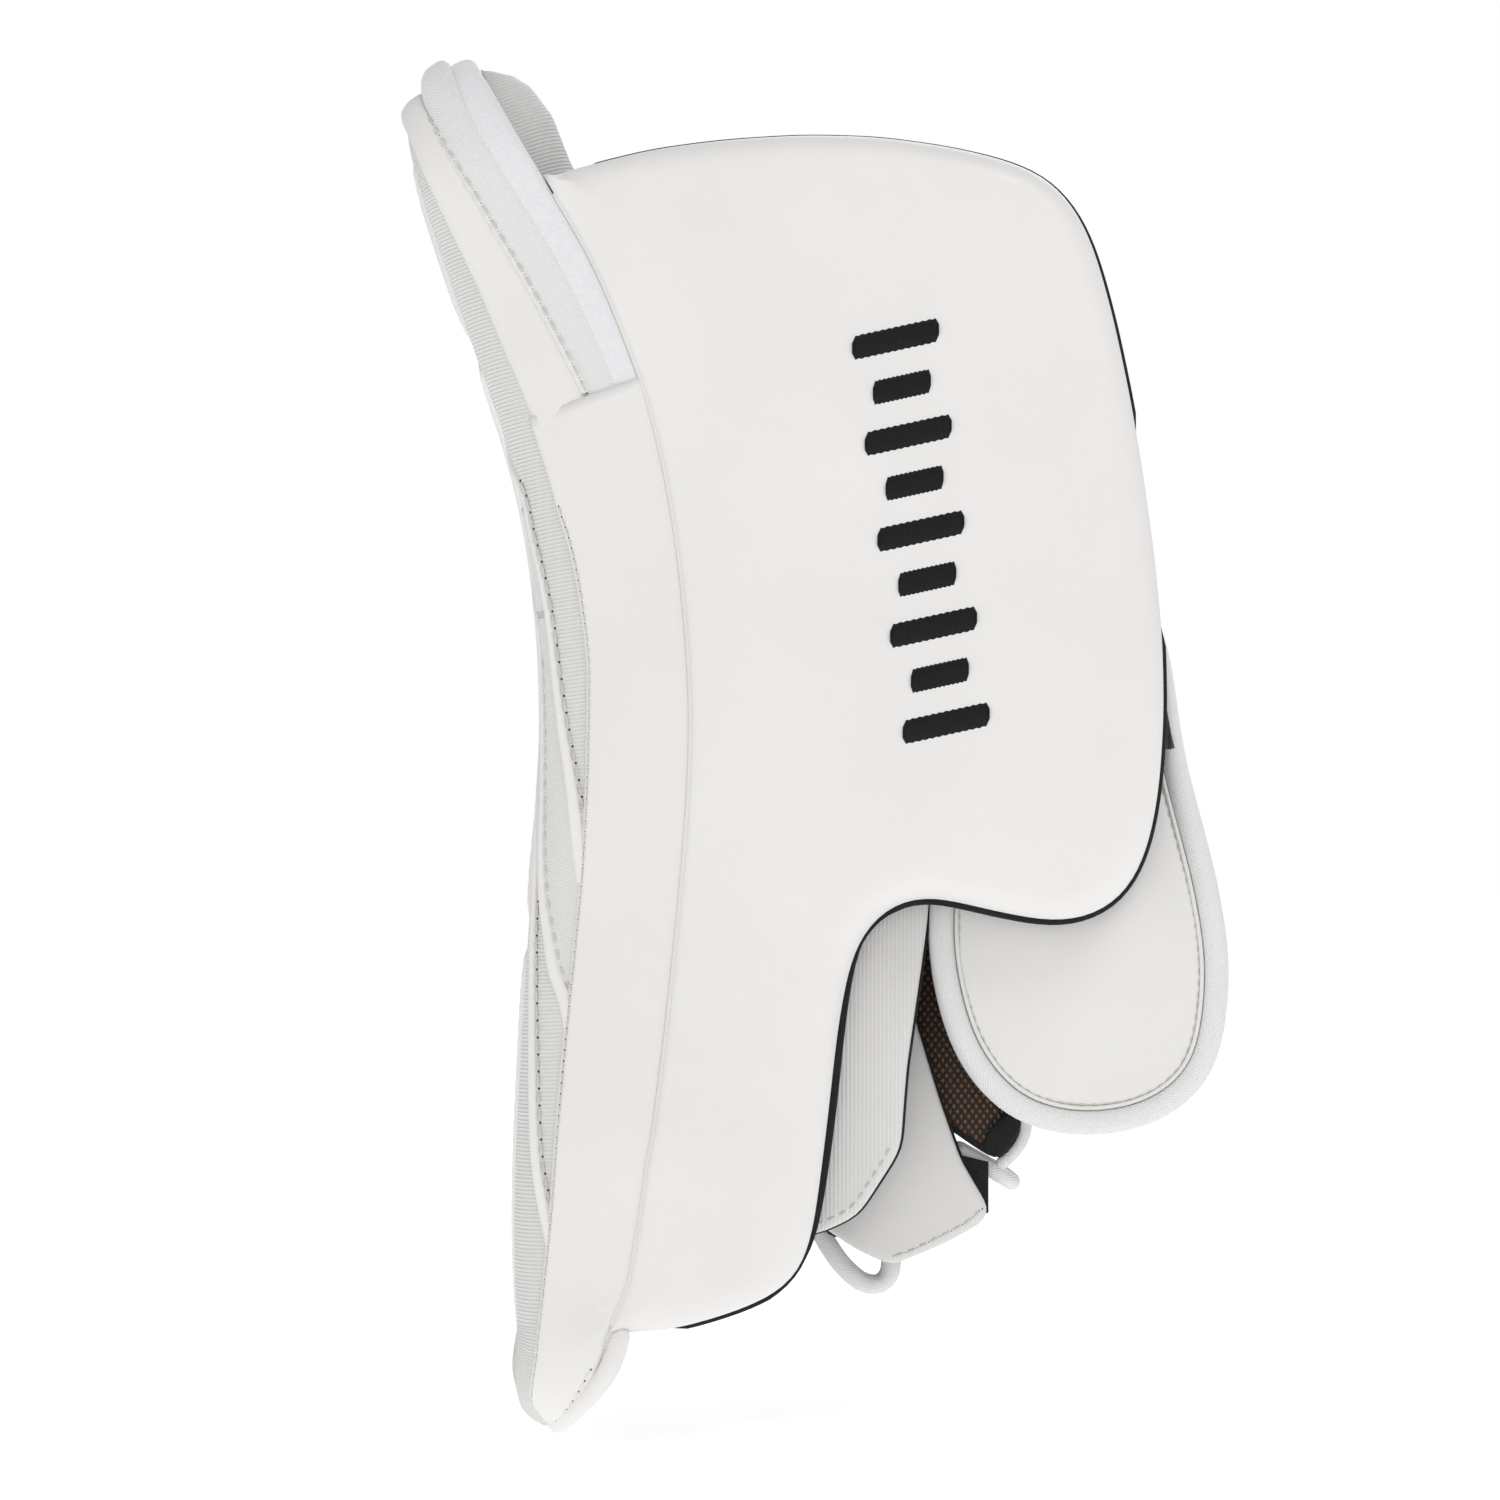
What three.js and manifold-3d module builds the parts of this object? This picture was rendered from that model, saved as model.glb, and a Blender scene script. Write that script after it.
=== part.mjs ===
// Goalie blocker for the stick hand: a curved padded board with a side board along its thumb edge and a
// glove fixed behind it. Millimetres. +Z runs up the board towards the wrist, +X from the strike face
// towards the palm, +Y from the thumb edge towards the little finger. Pieces are laid out in the board's
// own coordinates, and the whole assembly is then moved so that the mouth of the hand pocket is the origin.
import * as THREE from "three";
import { mergeVertices } from "three/addons/utils/BufferGeometryUtils.js";
import Module from "manifold-3d";

const wasm = await Module();
wasm.setup();

// ---------------------------------------------------------------- driving dimensions
const GAP = 0.3; // clearance between pieces that touch
const CURVE_GAP = 0.6; // clearance between pieces that follow the same curve in different steps
const BOARD_WIDTH = 203;
const SKIN = 1.5; // covers and linings
const POCKET_MOUTH = [30, 88, 130]; // centre of the cuff opening, in board coordinates

// The board's side profile: matched points on the strike face and on the back, from the finger end to
// the wrist end, as [x, z]. The board bows forward at the wrist and thins to a tip at the fingers.
const BOARD_STATIONS = [
  { front: [-43, -189.5], back: [-38, -190.5] },
  { front: [-48.3, -165], back: [-17, -164] },
  { front: [-49, -122], back: [-12.3, -124] },
  { front: [-45.5, -55], back: [-4.4, -58] },
  { front: [-41.4, 10], back: [0, 10] },
  { front: [-47.5, 70], back: [-7.6, 79] },
  { front: [-63.5, 119], back: [-26, 132] },
  { front: [-75.5, 155], back: [-44.6, 163.5] },
  { front: [-80.8, 178], back: [-59, 189.5] },
];
const BOARD_SIDE = 2.5; // bindings and the wrap strip stand this proud of the board's sides
const CORNER_RADIUS = 28;
const CORNER_STEPS = 8;
const BAND = 1.7; // thickness of the band round the board's edge

// Board layers as fractions of its thickness, from the strike face (0) to the back (1).
const LAYER = {
  overlay: [-0.042, -0.015],
  face_skin: [0, 0.04],
  face_foam: [0.048, 0.36],
  face_plastic: [0.368, 0.405],
  core_foam: [0.413, 0.948],
  back_skin: [0.956, 1],
  side_band: [0.048, 0.948],
  edge_binding: [0.6, 0.79],
  back_edge_fleece: [0.8, 0.99],
};

// Panels sewn on the strike face: two heights, and the half width at a share t of the way up.
const FACE_PANELS = {
  top: { low: 118, high: 172, halfWidth: (t) => 88 - 6 * t },
  middle: { low: -48, high: 112, halfWidth: (t) => 94 - 14 * Math.sin(Math.PI * t) },
  bottom: { low: -172, high: -54, halfWidth: (t) => 80 + 12 * Math.sin((Math.PI / 2) * t) },
};

const SIDE_BOARD_DEPTH = 21.5;
const SIDE_BOARD_RIM = 19; // where the leather cover's rim ends
const SIDE_BOARD_SHEET = 1.5; // thickness of its stiffening sheet
const SIDE_BOARD_LINER_PROUD = 0.9;
// Free edge of the side board as [x, z], from the board's wrist end round the thumb notch to the finger end.
const SIDE_BOARD_EDGE = [
  [-41, 157.5],
  [-5, 166.5],
  [45, 169.5],
  [88, 162.5],
  [106, 150.5],
  [116, 125],
  [125.5, 78],
  [131.5, 25],
  [129.5, -18],
  [121, -41],
  [105, -49],
  [84, -46],
  [64, -42],
  [50, -49.5],
  [42.5, -69],
  [36.5, -118],
  [31.5, -144],
  [20, -154.5],
  [-5, -162.5],
  [-17, -163],
];

// Front edge of the wrap strip on the board's thumb side, as [x, z] from the wrist end to the fingers.
const WRAP_EDGE = [
  [-40, 91],
  [-31.7, 56.6],
  [-27.6, 15],
  [-29.8, -31.7],
  [-34, -78.7],
  [-38, -131],
  [-43.5, -188],
];
const WRAP_TOP = 100;

const THUMB_EDGE = [
  [104, 39],
  [129, 40],
  [140, -5],
  [150, -45],
  [152, -68],
  [147, -93],
  [133, -106],
  [110, -110.5],
  [90, -105],
  [76, -90],
  [68.5, -68],
  [67, -45],
  [74, -8],
  [86, 24],
];
const THUMB_BINDING_WIDTH = 7.5;
const THUMB_LAYER = {
  outer_skin: [25, 26.5],
  foam: [26.8, 34],
  plastic: [34.3, 35.6],
  inner_skin: [35.9, 37.2],
  binding: [27, 36],
};
const THUMB_POUCH = { x: [88, 128], y: [37.5, 58], mouth: -8, tip: -93 };
const NETTING_EDGE = [
  [60, -42],
  [87.5, -42],
  [87.5, -94],
  [93, -102],
  [93, -111],
  [88, -118],
  [82.5, -114.8],
  [72, -107.5],
  [64, -90],
  [60, -70],
];
const NETTING_LAYER = [47, 53];
const HINGE_TAB = { x: [98, 136.5], y: [21.9, 24.6], z: [-2, 16] };

const INDEX_GUARD_EDGE = [
  [3, -28],
  [56, -28],
  [65.5, -38],
  [63.7, -60.6],
  [60.2, -97.3],
  [59, -114],
  [47, -132.5],
  [35, -138],
  [-4, -136],
];
const INDEX_GUARD_LAYER = { skin: [23.8, 25.2], foam: [25.5, 29.2], liner: [29.5, 31] };
const INDEX_SLEEVE_EDGE = [
  [24, -54],
  [55, -54],
  [59.5, -62],
  [63.9, -78.9],
  [70.5, -100.7],
  [76.6, -118.1],
  [84.8, -132.2],
  [83.5, -136],
  [72.2, -142.2],
  [57, -148.5],
  [47, -144],
  [26, -130],
];
const INDEX_SLEEVE_LAYER = [41, 46.5];

const INDEX_TAB_ROUTE = [
  [35, 50.5, -136],
  [38.5, 50.5, -142.5],
  [43, 50.5, -149],
  [48.5, 50.5, -153.8],
  [53.5, 50.5, -154.6],
  [56.6, 50.5, -151.5],
  [57.2, 50.5, -146],
];
const INDEX_TAB_WIDTH = 5.2;
const THUMB_TAB_ROUTE = [
  [77, 50, -116.8],
  [87, 50, -122.4],
  [92, 55, -125.8],
  [87, 60, -122.4],
  [77, 60, -116.8],
];
const THUMB_TAB_WIDTH = 4.6;

const FINGER_X = [18, 46];
const FINGER_MOUTH = -46;
const FINGER_WALL = 3;
const FINGERS = [
  { name: "index", y: [47.5, 71.5], tip: -132 },
  { name: "middle", y: [72.2, 96.2], tip: -141 },
  { name: "ring", y: [96.9, 119.9], tip: -135 },
  { name: "little", y: [120.6, 141.6], tip: -119 },
];

const PALM_SIDES = [46, 142.5]; // the palm, across the knuckles
const PAD_SIDES = [32, 150]; // the padding behind the hand
const PAD_FRONT = 16;
const HAND_PAD_EDGE = [
  [-30, -44],
  [PAD_FRONT, -44],
  [PAD_FRONT, 50],
  [6, 84],
  [-30, 84],
];
const PALM_EDGE = [
  [50, -30],
  [53.5, -30],
  [56, 20],
  [66, 63],
  [62, 63],
  [52.5, 20],
];
const PALM_PATCH_EDGE = [
  [53.9, -29],
  [55.4, -29],
  [57.6, 14],
  [56.2, 14],
];
const PALM_PATCH_SIDES = [70, 134];
const THUMB_WINDOW = { x: [40, 60], y: [40, 63], z: [-40, 25] }; // where the thumb leaves the palm
const CROTCH_EDGE = [
  [58, -26],
  [65, -28],
  [86, -3],
  [98, 22],
  [90, 33],
  [67, 26],
  [60, 14],
];
const CROTCH_LAYER = [46, 49];
const GUSSET = { thickness: 3, gap: 0.5, thumbLow: 27, littleLow: -42 };

const CUFF_SIDE = [152, 162]; // the cuff's wall on the little finger side
const CUFF_WALL_EDGE = [
  [-40, 134],
  [60, 134],
  [69, 126],
  [69, 60],
  [46, 22],
  [-20, 22],
];
// The padding roll on the board's back behind the wrist, as [height, how far it stands off the back].
const BACK_ROLL = [
  [86, 9.4],
  [108, 9.4],
  [130, 9.4],
  [148, 9.8],
  [160, 11],
  [168, 12.8],
  [175, 13.8],
  [182, 12.6],
];
const BACK_ROLL_GAP = 0.4;
const BACK_ROLL_PAST_CUFF = 12;
const PALM_FLAP = { x: [62, 70], y: [24, PAD_SIDES[1]], z: [64, 128], radius: 8 };
const LOOP_PATCH = { x: [70.3, 71.8], y: [48, 112], z: [80, 112] };
const HOOK_PATCH = { x: [72.1, 73.4], y: [50, 100], z: [81, 111] };
const GRIP = { x: [72.6, 77.4], y: [26, 33.7], z: [79, 113] };
const PATCH_RADIUS = 3;

const SCREW_PLACES = [
  [58, 44],
  [126, 44],
  [58, -28],
  [126, -28],
]; // [y, z]
const SCREW_HOLE = 3.6;

// ---------------------------------------------------------------- materials
function finish(color, roughness, metalness = 0) {
  return new THREE.MeshStandardMaterial({ color, roughness, metalness });
}
const LEATHER = finish(0xebebe8, 0.45);
const NYLON = finish(0xf0f0f3, 0.75);
const FLEECE = finish(0xe8e8ee, 0.95);
const BLACK_NYLON = finish(0x232323, 0.8);
const PALM = finish(0x2c2c2e, 0.85);
const MESH_FABRIC = finish(0x3a241c, 0.85);
const FOAM = finish(0xc9ccd0, 0.9);
const PLASTIC = finish(0xdadad6, 0.5);
const STEEL = finish(0xb8babd, 0.35, 1);
const RUBBER = finish(0x1c1c1c, 0.6);

// ---------------------------------------------------------------- solids and cuts
function toSolid(geometry) {
  const bare = geometry.clone();
  bare.deleteAttribute("normal");
  bare.deleteAttribute("uv");
  const merged = mergeVertices(bare, 1e-4);
  return new wasm.Manifold(
    new wasm.Mesh({
      numProp: 3,
      vertProperties: new Float32Array(merged.attributes.position.array),
      triVerts: new Uint32Array(merged.index.array),
    }),
  );
}

function toGeometry(solid) {
  const mesh = solid.getMesh();
  const geometry = new THREE.BufferGeometry();
  geometry.setAttribute("position", new THREE.BufferAttribute(mesh.vertProperties, 3));
  geometry.setIndex(new THREE.BufferAttribute(mesh.triVerts, 1));
  geometry.computeVertexNormals();
  return geometry;
}

function cut(geometry, ...tools) {
  let solid = toSolid(geometry);
  for (const tool of tools) {
    solid = solid.subtract(toSolid(tool));
  }
  return toGeometry(solid);
}

function common(a, b) {
  return toGeometry(toSolid(a).intersect(toSolid(b)));
}

// Joins matching rings of points into one closed solid: a rod with two flat ends, or a closed loop.
function sweep(rings, closed = false) {
  const size = rings[0].length;
  const indices = [];
  const spans = closed ? rings.length : rings.length - 1;
  for (let i = 0; i < spans; i += 1) {
    const near = i * size;
    const far = ((i + 1) % rings.length) * size;
    for (let j = 0; j < size; j += 1) {
      const k = (j + 1) % size;
      indices.push(near + j, near + k, far + k);
      indices.push(near + j, far + k, far + j);
    }
  }
  if (!closed) {
    const last = (rings.length - 1) * size;
    for (let j = 1; j < size - 1; j += 1) {
      indices.push(0, j + 1, j);
      indices.push(last, last + j, last + j + 1);
    }
  }
  const geometry = new THREE.BufferGeometry();
  const positions = rings.flat().flatMap((point) => [point.x, point.y, point.z]);
  geometry.setAttribute("position", new THREE.Float32BufferAttribute(positions, 3));
  geometry.setIndex(indices);
  return faceOutward(geometry);
}

function signedVolume(geometry) {
  const position = geometry.attributes.position;
  const index = geometry.index.array;
  const corners = [new THREE.Vector3(), new THREE.Vector3(), new THREE.Vector3()];
  let volume = 0;
  for (let i = 0; i < index.length; i += 3) {
    corners.forEach((corner, k) => corner.fromBufferAttribute(position, index[i + k]));
    volume += corners[0].dot(corners[1].clone().cross(corners[2])) / 6;
  }
  return volume;
}

function faceOutward(geometry) {
  if (signedVolume(geometry) < 0) {
    geometry.index.array.reverse();
  }
  geometry.computeVertexNormals();
  return geometry;
}

// ---------------------------------------------------------------- outlines
function toPoints(pairs) {
  return pairs.map(([a, b]) => new THREE.Vector2(a, b));
}

function smoothOpen(pairs, steps) {
  return new THREE.SplineCurve(toPoints(pairs)).getPoints(steps);
}

function smoothClosed(pairs, steps) {
  const points = pairs.map(([a, b]) => new THREE.Vector3(a, b, 0));
  const curve = new THREE.CatmullRomCurve3(points, true, "centripetal");
  return curve.getPoints(steps).slice(0, steps).map((point) => new THREE.Vector2(point.x, point.y));
}

// Moves an outline's points along their normals. A positive distance grows an outline of either turning.
function offset(points, distance) {
  const sign = THREE.ShapeUtils.isClockWise(points) ? -1 : 1;
  const count = points.length;
  return points.map((point, i) => {
    const before = points[(i + count - 1) % count];
    const after = points[(i + 1) % count];
    const inward = point.clone().sub(before).normalize();
    const outward = after.clone().sub(point).normalize();
    const along = inward.clone().add(outward).normalize();
    const normal = new THREE.Vector2(along.y, -along.x).multiplyScalar(sign);
    const reach = distance / Math.max(0.5, Math.abs(along.dot(outward)));
    return point.clone().addScaledVector(normal, reach);
  });
}

function roundedRect(a0, b0, a1, b1, radius) {
  const shape = new THREE.Shape();
  shape.moveTo(a0 + radius, b0);
  shape.lineTo(a1 - radius, b0);
  shape.absarc(a1 - radius, b0 + radius, radius, -Math.PI / 2, 0);
  shape.lineTo(a1, b1 - radius);
  shape.absarc(a1 - radius, b1 - radius, radius, 0, Math.PI / 2);
  shape.lineTo(a0 + radius, b1);
  shape.absarc(a0 + radius, b1 - radius, radius, Math.PI / 2, Math.PI);
  shape.lineTo(a0, b0 + radius);
  shape.absarc(a0 + radius, b0 + radius, radius, Math.PI, Math.PI * 1.5);
  return shape.extractPoints(3).shape.slice(0, -1);
}

// ---------------------------------------------------------------- extrusions along each axis
function extrude(points, depth) {
  return new THREE.ExtrudeGeometry(new THREE.Shape(points), { depth, bevelEnabled: false });
}

// The outline is in [x, y] and the solid runs from z0 to z1.
function alongZ(points, z0, z1) {
  return extrude(points, z1 - z0).translate(0, 0, z0);
}

// The outline is in [x, z] and the solid runs from y0 to y1.
function alongY(points, y0, y1) {
  return extrude(points, y1 - y0).rotateX(Math.PI / 2).translate(0, y1, 0);
}

// The outline is in [y, z] and the solid runs from x0 to x1.
function alongX(points, x0, x1) {
  const turn = new THREE.Matrix4().makeBasis(
    new THREE.Vector3(0, 1, 0),
    new THREE.Vector3(0, 0, 1),
    new THREE.Vector3(1, 0, 0),
  );
  return extrude(points, x1 - x0).applyMatrix4(turn).translate(x0, 0, 0);
}

function box(x, y, z) {
  const geometry = new THREE.BoxGeometry(x[1] - x[0], y[1] - y[0], z[1] - z[0]);
  return geometry.translate((x[0] + x[1]) / 2, (y[0] + y[1]) / 2, (z[0] + z[1]) / 2);
}

// ---------------------------------------------------------------- the board's curved space
const STATION_HEIGHTS = BOARD_STATIONS.map(({ front, back }) => (front[1] + back[1]) / 2);
const BOARD_LOW = STATION_HEIGHTS[0];
const BOARD_HIGH = STATION_HEIGHTS[STATION_HEIGHTS.length - 1];

function slope(values, i) {
  const low = Math.max(0, i - 1);
  const high = Math.min(values.length - 1, i + 1);
  return (values[high] - values[low]) / (STATION_HEIGHTS[high] - STATION_HEIGHTS[low]);
}

// Smooth value at one height, from one value for each station; straight beyond the two ends.
function interpolate(values, height) {
  const last = values.length - 1;
  if (height <= BOARD_LOW) {
    return values[0] + slope(values, 0) * (height - BOARD_LOW);
  }
  if (height >= BOARD_HIGH) {
    return values[last] + slope(values, last) * (height - BOARD_HIGH);
  }
  const i = STATION_HEIGHTS.findIndex((station) => station > height) - 1;
  const span = STATION_HEIGHTS[i + 1] - STATION_HEIGHTS[i];
  const t = (height - STATION_HEIGHTS[i]) / span;
  const start = slope(values, i) * span;
  const end = slope(values, i + 1) * span;
  return (
    values[i] * (2 * t ** 3 - 3 * t ** 2 + 1) +
    start * (t ** 3 - 2 * t ** 2 + t) +
    values[i + 1] * (-2 * t ** 3 + 3 * t ** 2) +
    end * (t ** 3 - t ** 2)
  );
}

const PROFILE = {
  frontX: BOARD_STATIONS.map((station) => station.front[0]),
  frontZ: BOARD_STATIONS.map((station) => station.front[1]),
  backX: BOARD_STATIONS.map((station) => station.back[0]),
  backZ: BOARD_STATIONS.map((station) => station.back[1]),
};

// A point of the board: fraction 0 is the strike face and 1 is the back.
function boardPoint(fraction, y, height) {
  const front = [interpolate(PROFILE.frontX, height), interpolate(PROFILE.frontZ, height)];
  const back = [interpolate(PROFILE.backX, height), interpolate(PROFILE.backZ, height)];
  const x = front[0] + fraction * (back[0] - front[0]);
  const z = front[1] + fraction * (back[1] - front[1]);
  return new THREE.Vector3(x, y, z);
}

// Points of the board's back, moved towards the palm by a distance, between two heights.
function backLine(distance, low, high, steps) {
  const points = [];
  for (let i = 0; i <= steps; i += 1) {
    const point = boardPoint(1, 0, low + ((high - low) * i) / steps);
    points.push(new THREE.Vector2(point.x + distance, point.z));
  }
  return points;
}

// Board outline seen from the front, as [y, height] with its outward normal, grown by a distance.
function boardPerimeter(grow) {
  const sideSteps = 15;
  const low = BOARD_LOW + CORNER_RADIUS;
  const high = BOARD_HIGH - CORNER_RADIUS;
  const left = BOARD_SIDE + CORNER_RADIUS;
  const right = BOARD_WIDTH - BOARD_SIDE - CORNER_RADIUS;
  const radius = CORNER_RADIUS + grow;
  const points = [];
  const corner = (y, z, start) => {
    for (let i = 0; i <= CORNER_STEPS; i += 1) {
      const angle = start + (Math.PI / 2) * (i / CORNER_STEPS);
      points.push(new THREE.Vector2(y + radius * Math.cos(angle), z + radius * Math.sin(angle)));
    }
  };
  const side = (y, from, to) => {
    for (let i = 1; i < sideSteps; i += 1) {
      points.push(new THREE.Vector2(y, from + ((to - from) * i) / sideSteps));
    }
  };
  corner(left, low, Math.PI);
  corner(right, low, Math.PI * 1.5);
  side(right + radius, low, high);
  corner(right, high, 0);
  corner(left, high, Math.PI / 2);
  side(left - radius, high, low);
  return points;
}

// Solid sheet of the board between two fractions, inset from the perimeter.
function boardLayer([from, to], inset) {
  const perimeter = boardPerimeter(-inset);
  const middle = BOARD_WIDTH / 2;
  const left = perimeter.filter((point) => point.x < middle).sort((a, b) => a.y - b.y);
  const rings = left.map((point) => {
    const far = BOARD_WIDTH - point.x;
    return [
      boardPoint(from, point.x, point.y),
      boardPoint(from, far, point.y),
      boardPoint(to, far, point.y),
      boardPoint(to, point.x, point.y),
    ];
  });
  return sweep(rings);
}

// Band that runs round the board's edge between two fractions and two distances from the perimeter.
function boardBand([from, to], inner, outer) {
  const near = boardPerimeter(inner);
  const far = boardPerimeter(outer);
  const rings = near.map((point, i) => [
    boardPoint(from, point.x, point.y),
    boardPoint(from, far[i].x, far[i].y),
    boardPoint(to, far[i].x, far[i].y),
    boardPoint(to, point.x, point.y),
  ]);
  return sweep(rings, true);
}

// Panel laid on the strike face: its half width follows a formula of the height.
function facePanel(low, high, halfWidth) {
  const steps = 12;
  const middle = BOARD_WIDTH / 2;
  const rings = [];
  for (let i = 0; i <= steps; i += 1) {
    const height = low + ((high - low) * i) / steps;
    const half = halfWidth(i / steps);
    rings.push([
      boardPoint(LAYER.overlay[0], middle - half, height),
      boardPoint(LAYER.overlay[0], middle + half, height),
      boardPoint(LAYER.overlay[1], middle + half, height),
      boardPoint(LAYER.overlay[1], middle - half, height),
    ]);
  }
  return sweep(rings);
}

// ---------------------------------------------------------------- assembly
const blocker = new THREE.Group();
blocker.name = "goalie_blocker";
const boardSpace = new THREE.Group();
boardSpace.position.set(-POCKET_MOUTH[0], -POCKET_MOUTH[1], -POCKET_MOUTH[2]);
blocker.add(boardSpace);

function add(name, geometry, material) {
  const mesh = new THREE.Mesh(geometry, material);
  mesh.name = name;
  boardSpace.add(mesh);
}

// ---------------------------------------------------------------- screws that hold the hand
const PLASTIC_FRONT = 0.368;
const NUT_FLANGE = { radius: 8, depth: 1.2 };
const NUT_BARREL = { outer: 3.1, inner: 2.4, length: 9 };
const SCREW_SHANK = 2.1;
const SCREW_HEAD = { radius: 6.5, depth: 2.2 };

function xCylinder(radius, x0, x1, y, z) {
  const geometry = new THREE.CylinderGeometry(radius, radius, x1 - x0, 12);
  return geometry.rotateZ(-Math.PI / 2).translate((x0 + x1) / 2, y, z);
}

function screwHoles() {
  return SCREW_PLACES.map(([y, z]) => xCylinder(SCREW_HOLE, -40, 30, y, z));
}

// Where the nut's flange lies, just in front of the stiffening sheet.
function flangeX(z) {
  const below = boardPoint(PLASTIC_FRONT, 0, z - NUT_FLANGE.radius).x;
  const above = boardPoint(PLASTIC_FRONT, 0, z + NUT_FLANGE.radius).x;
  return Math.min(below, above) - GAP - NUT_FLANGE.depth;
}

function tNut(y, z) {
  const profile = toPoints([
    [NUT_BARREL.inner, 0],
    [NUT_FLANGE.radius, 0],
    [NUT_FLANGE.radius, NUT_FLANGE.depth],
    [NUT_BARREL.outer, NUT_FLANGE.depth],
    [NUT_BARREL.outer, NUT_BARREL.length],
    [NUT_BARREL.inner, NUT_BARREL.length],
    [NUT_BARREL.inner, 0],
  ]);
  const geometry = new THREE.LatheGeometry(profile, 12);
  return geometry.rotateZ(-Math.PI / 2).translate(flangeX(z), y, z);
}

function screw(y, z) {
  const length = PAD_FRONT + GAP - flangeX(z) - 1;
  const profile = toPoints([
    [0, 0],
    [SCREW_SHANK, 0],
    [SCREW_SHANK, length],
    [SCREW_HEAD.radius, length],
    [SCREW_HEAD.radius * 0.85, length + SCREW_HEAD.depth * 0.7],
    [SCREW_HEAD.radius * 0.4, length + SCREW_HEAD.depth],
    [0, length + SCREW_HEAD.depth],
  ]);
  const geometry = new THREE.LatheGeometry(profile, 12);
  return geometry.rotateZ(-Math.PI / 2).translate(flangeX(z) + 1, y, z);
}

// ---------------------------------------------------------------- board
function addBoard() {
  const inside = BAND + GAP;
  const recesses = SCREW_PLACES.map(([y, z]) => {
    const x = flangeX(z);
    return xCylinder(NUT_FLANGE.radius + 1, x - 1, x + 10, y, z);
  });
  add("face_skin", boardLayer(LAYER.face_skin, 0), LEATHER);
  add("face_foam", cut(boardLayer(LAYER.face_foam, inside), ...recesses), FOAM);
  add("face_plastic", cut(boardLayer(LAYER.face_plastic, inside), ...screwHoles()), PLASTIC);
  add("core_foam", cut(boardLayer(LAYER.core_foam, inside), ...screwHoles()), FOAM);
  add("back_skin", cut(boardLayer(LAYER.back_skin, 0), ...screwHoles()), NYLON);
  add("side_band", boardBand(LAYER.side_band, -BAND, 0), NYLON);
  for (const [place, { low, high, halfWidth }] of Object.entries(FACE_PANELS)) {
    add(`face_overlay_${place}`, facePanel(low, high, halfWidth), LEATHER);
  }
  SCREW_PLACES.forEach(([y, z], i) => {
    add(`t_nut_${i + 1}`, tNut(y, z), STEEL);
    add(`palm_screw_${i + 1}`, screw(y, z), STEEL);
  });
}

// The binding and the fleece behind it run round the board's edge, except where the wrap strip lies.
function addEdgeTrim() {
  const wrapSide = box([-120, 40], [-10, 60], [-220, WRAP_TOP]);
  const binding = boardBand(LAYER.edge_binding, GAP, 2.3);
  const fleece = boardBand(LAYER.back_edge_fleece, GAP, 2);
  add("edge_binding", cut(binding, wrapSide), NYLON);
  add("back_edge_fleece", cut(fleece, wrapSide), FLEECE);
}

function addSideWrap() {
  const frontEdge = smoothOpen(WRAP_EDGE, 24);
  const backEdge = backLine(0, BOARD_LOW, WRAP_TOP - 8, 24);
  const region = alongY([...frontEdge, ...backEdge], -5, 60);
  add("side_wrap", common(boardBand([0.02, 0.999], GAP, 1.5), region), LEATHER);
}

// ---------------------------------------------------------------- side board
function sideBoardOutline(grow) {
  const edge = smoothOpen(SIDE_BOARD_EDGE, 44);
  const seam = backLine(CURVE_GAP, -163, 154, 14).slice(1, -1);
  return offset([...edge, ...seam], grow);
}

function addSideBoard() {
  const trim = (geometry) => cut(geometry, alongY(boardBlock(), -5, 65));
  const outline = sideBoardOutline(0);
  const inside = sideBoardOutline(-SKIN);
  const core = sideBoardOutline(-SKIN - GAP);
  const backing = sideBoardOutline(SIDE_BOARD_LINER_PROUD);
  const rim = SIDE_BOARD_RIM;
  const sheetFront = rim - SIDE_BOARD_SHEET;
  const shell = cut(alongY(outline, 0, rim), alongY(inside, SKIN, rim + 5));
  add("sideboard_skin", trim(shell), LEATHER);
  add("sideboard_foam", trim(alongY(core, SKIN + GAP, sheetFront - GAP)), FOAM);
  add("sideboard_plastic", trim(alongY(core, sheetFront, rim)), PLASTIC);
  add("sideboard_liner", trim(alongY(backing, rim + GAP, SIDE_BOARD_DEPTH)), BLACK_NYLON);
}

// The space that the board fills, with the clearance that its neighbours keep.
function boardBlock() {
  const back = backLine(CURVE_GAP, BOARD_LOW - 4, BOARD_HIGH + 4, 40);
  return [new THREE.Vector2(-150, 220), new THREE.Vector2(-150, -220), ...back];
}

// ---------------------------------------------------------------- hand
function behindBoard(geometry) {
  return cut(geometry, alongY(boardBlock(), -5, 220));
}

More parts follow.
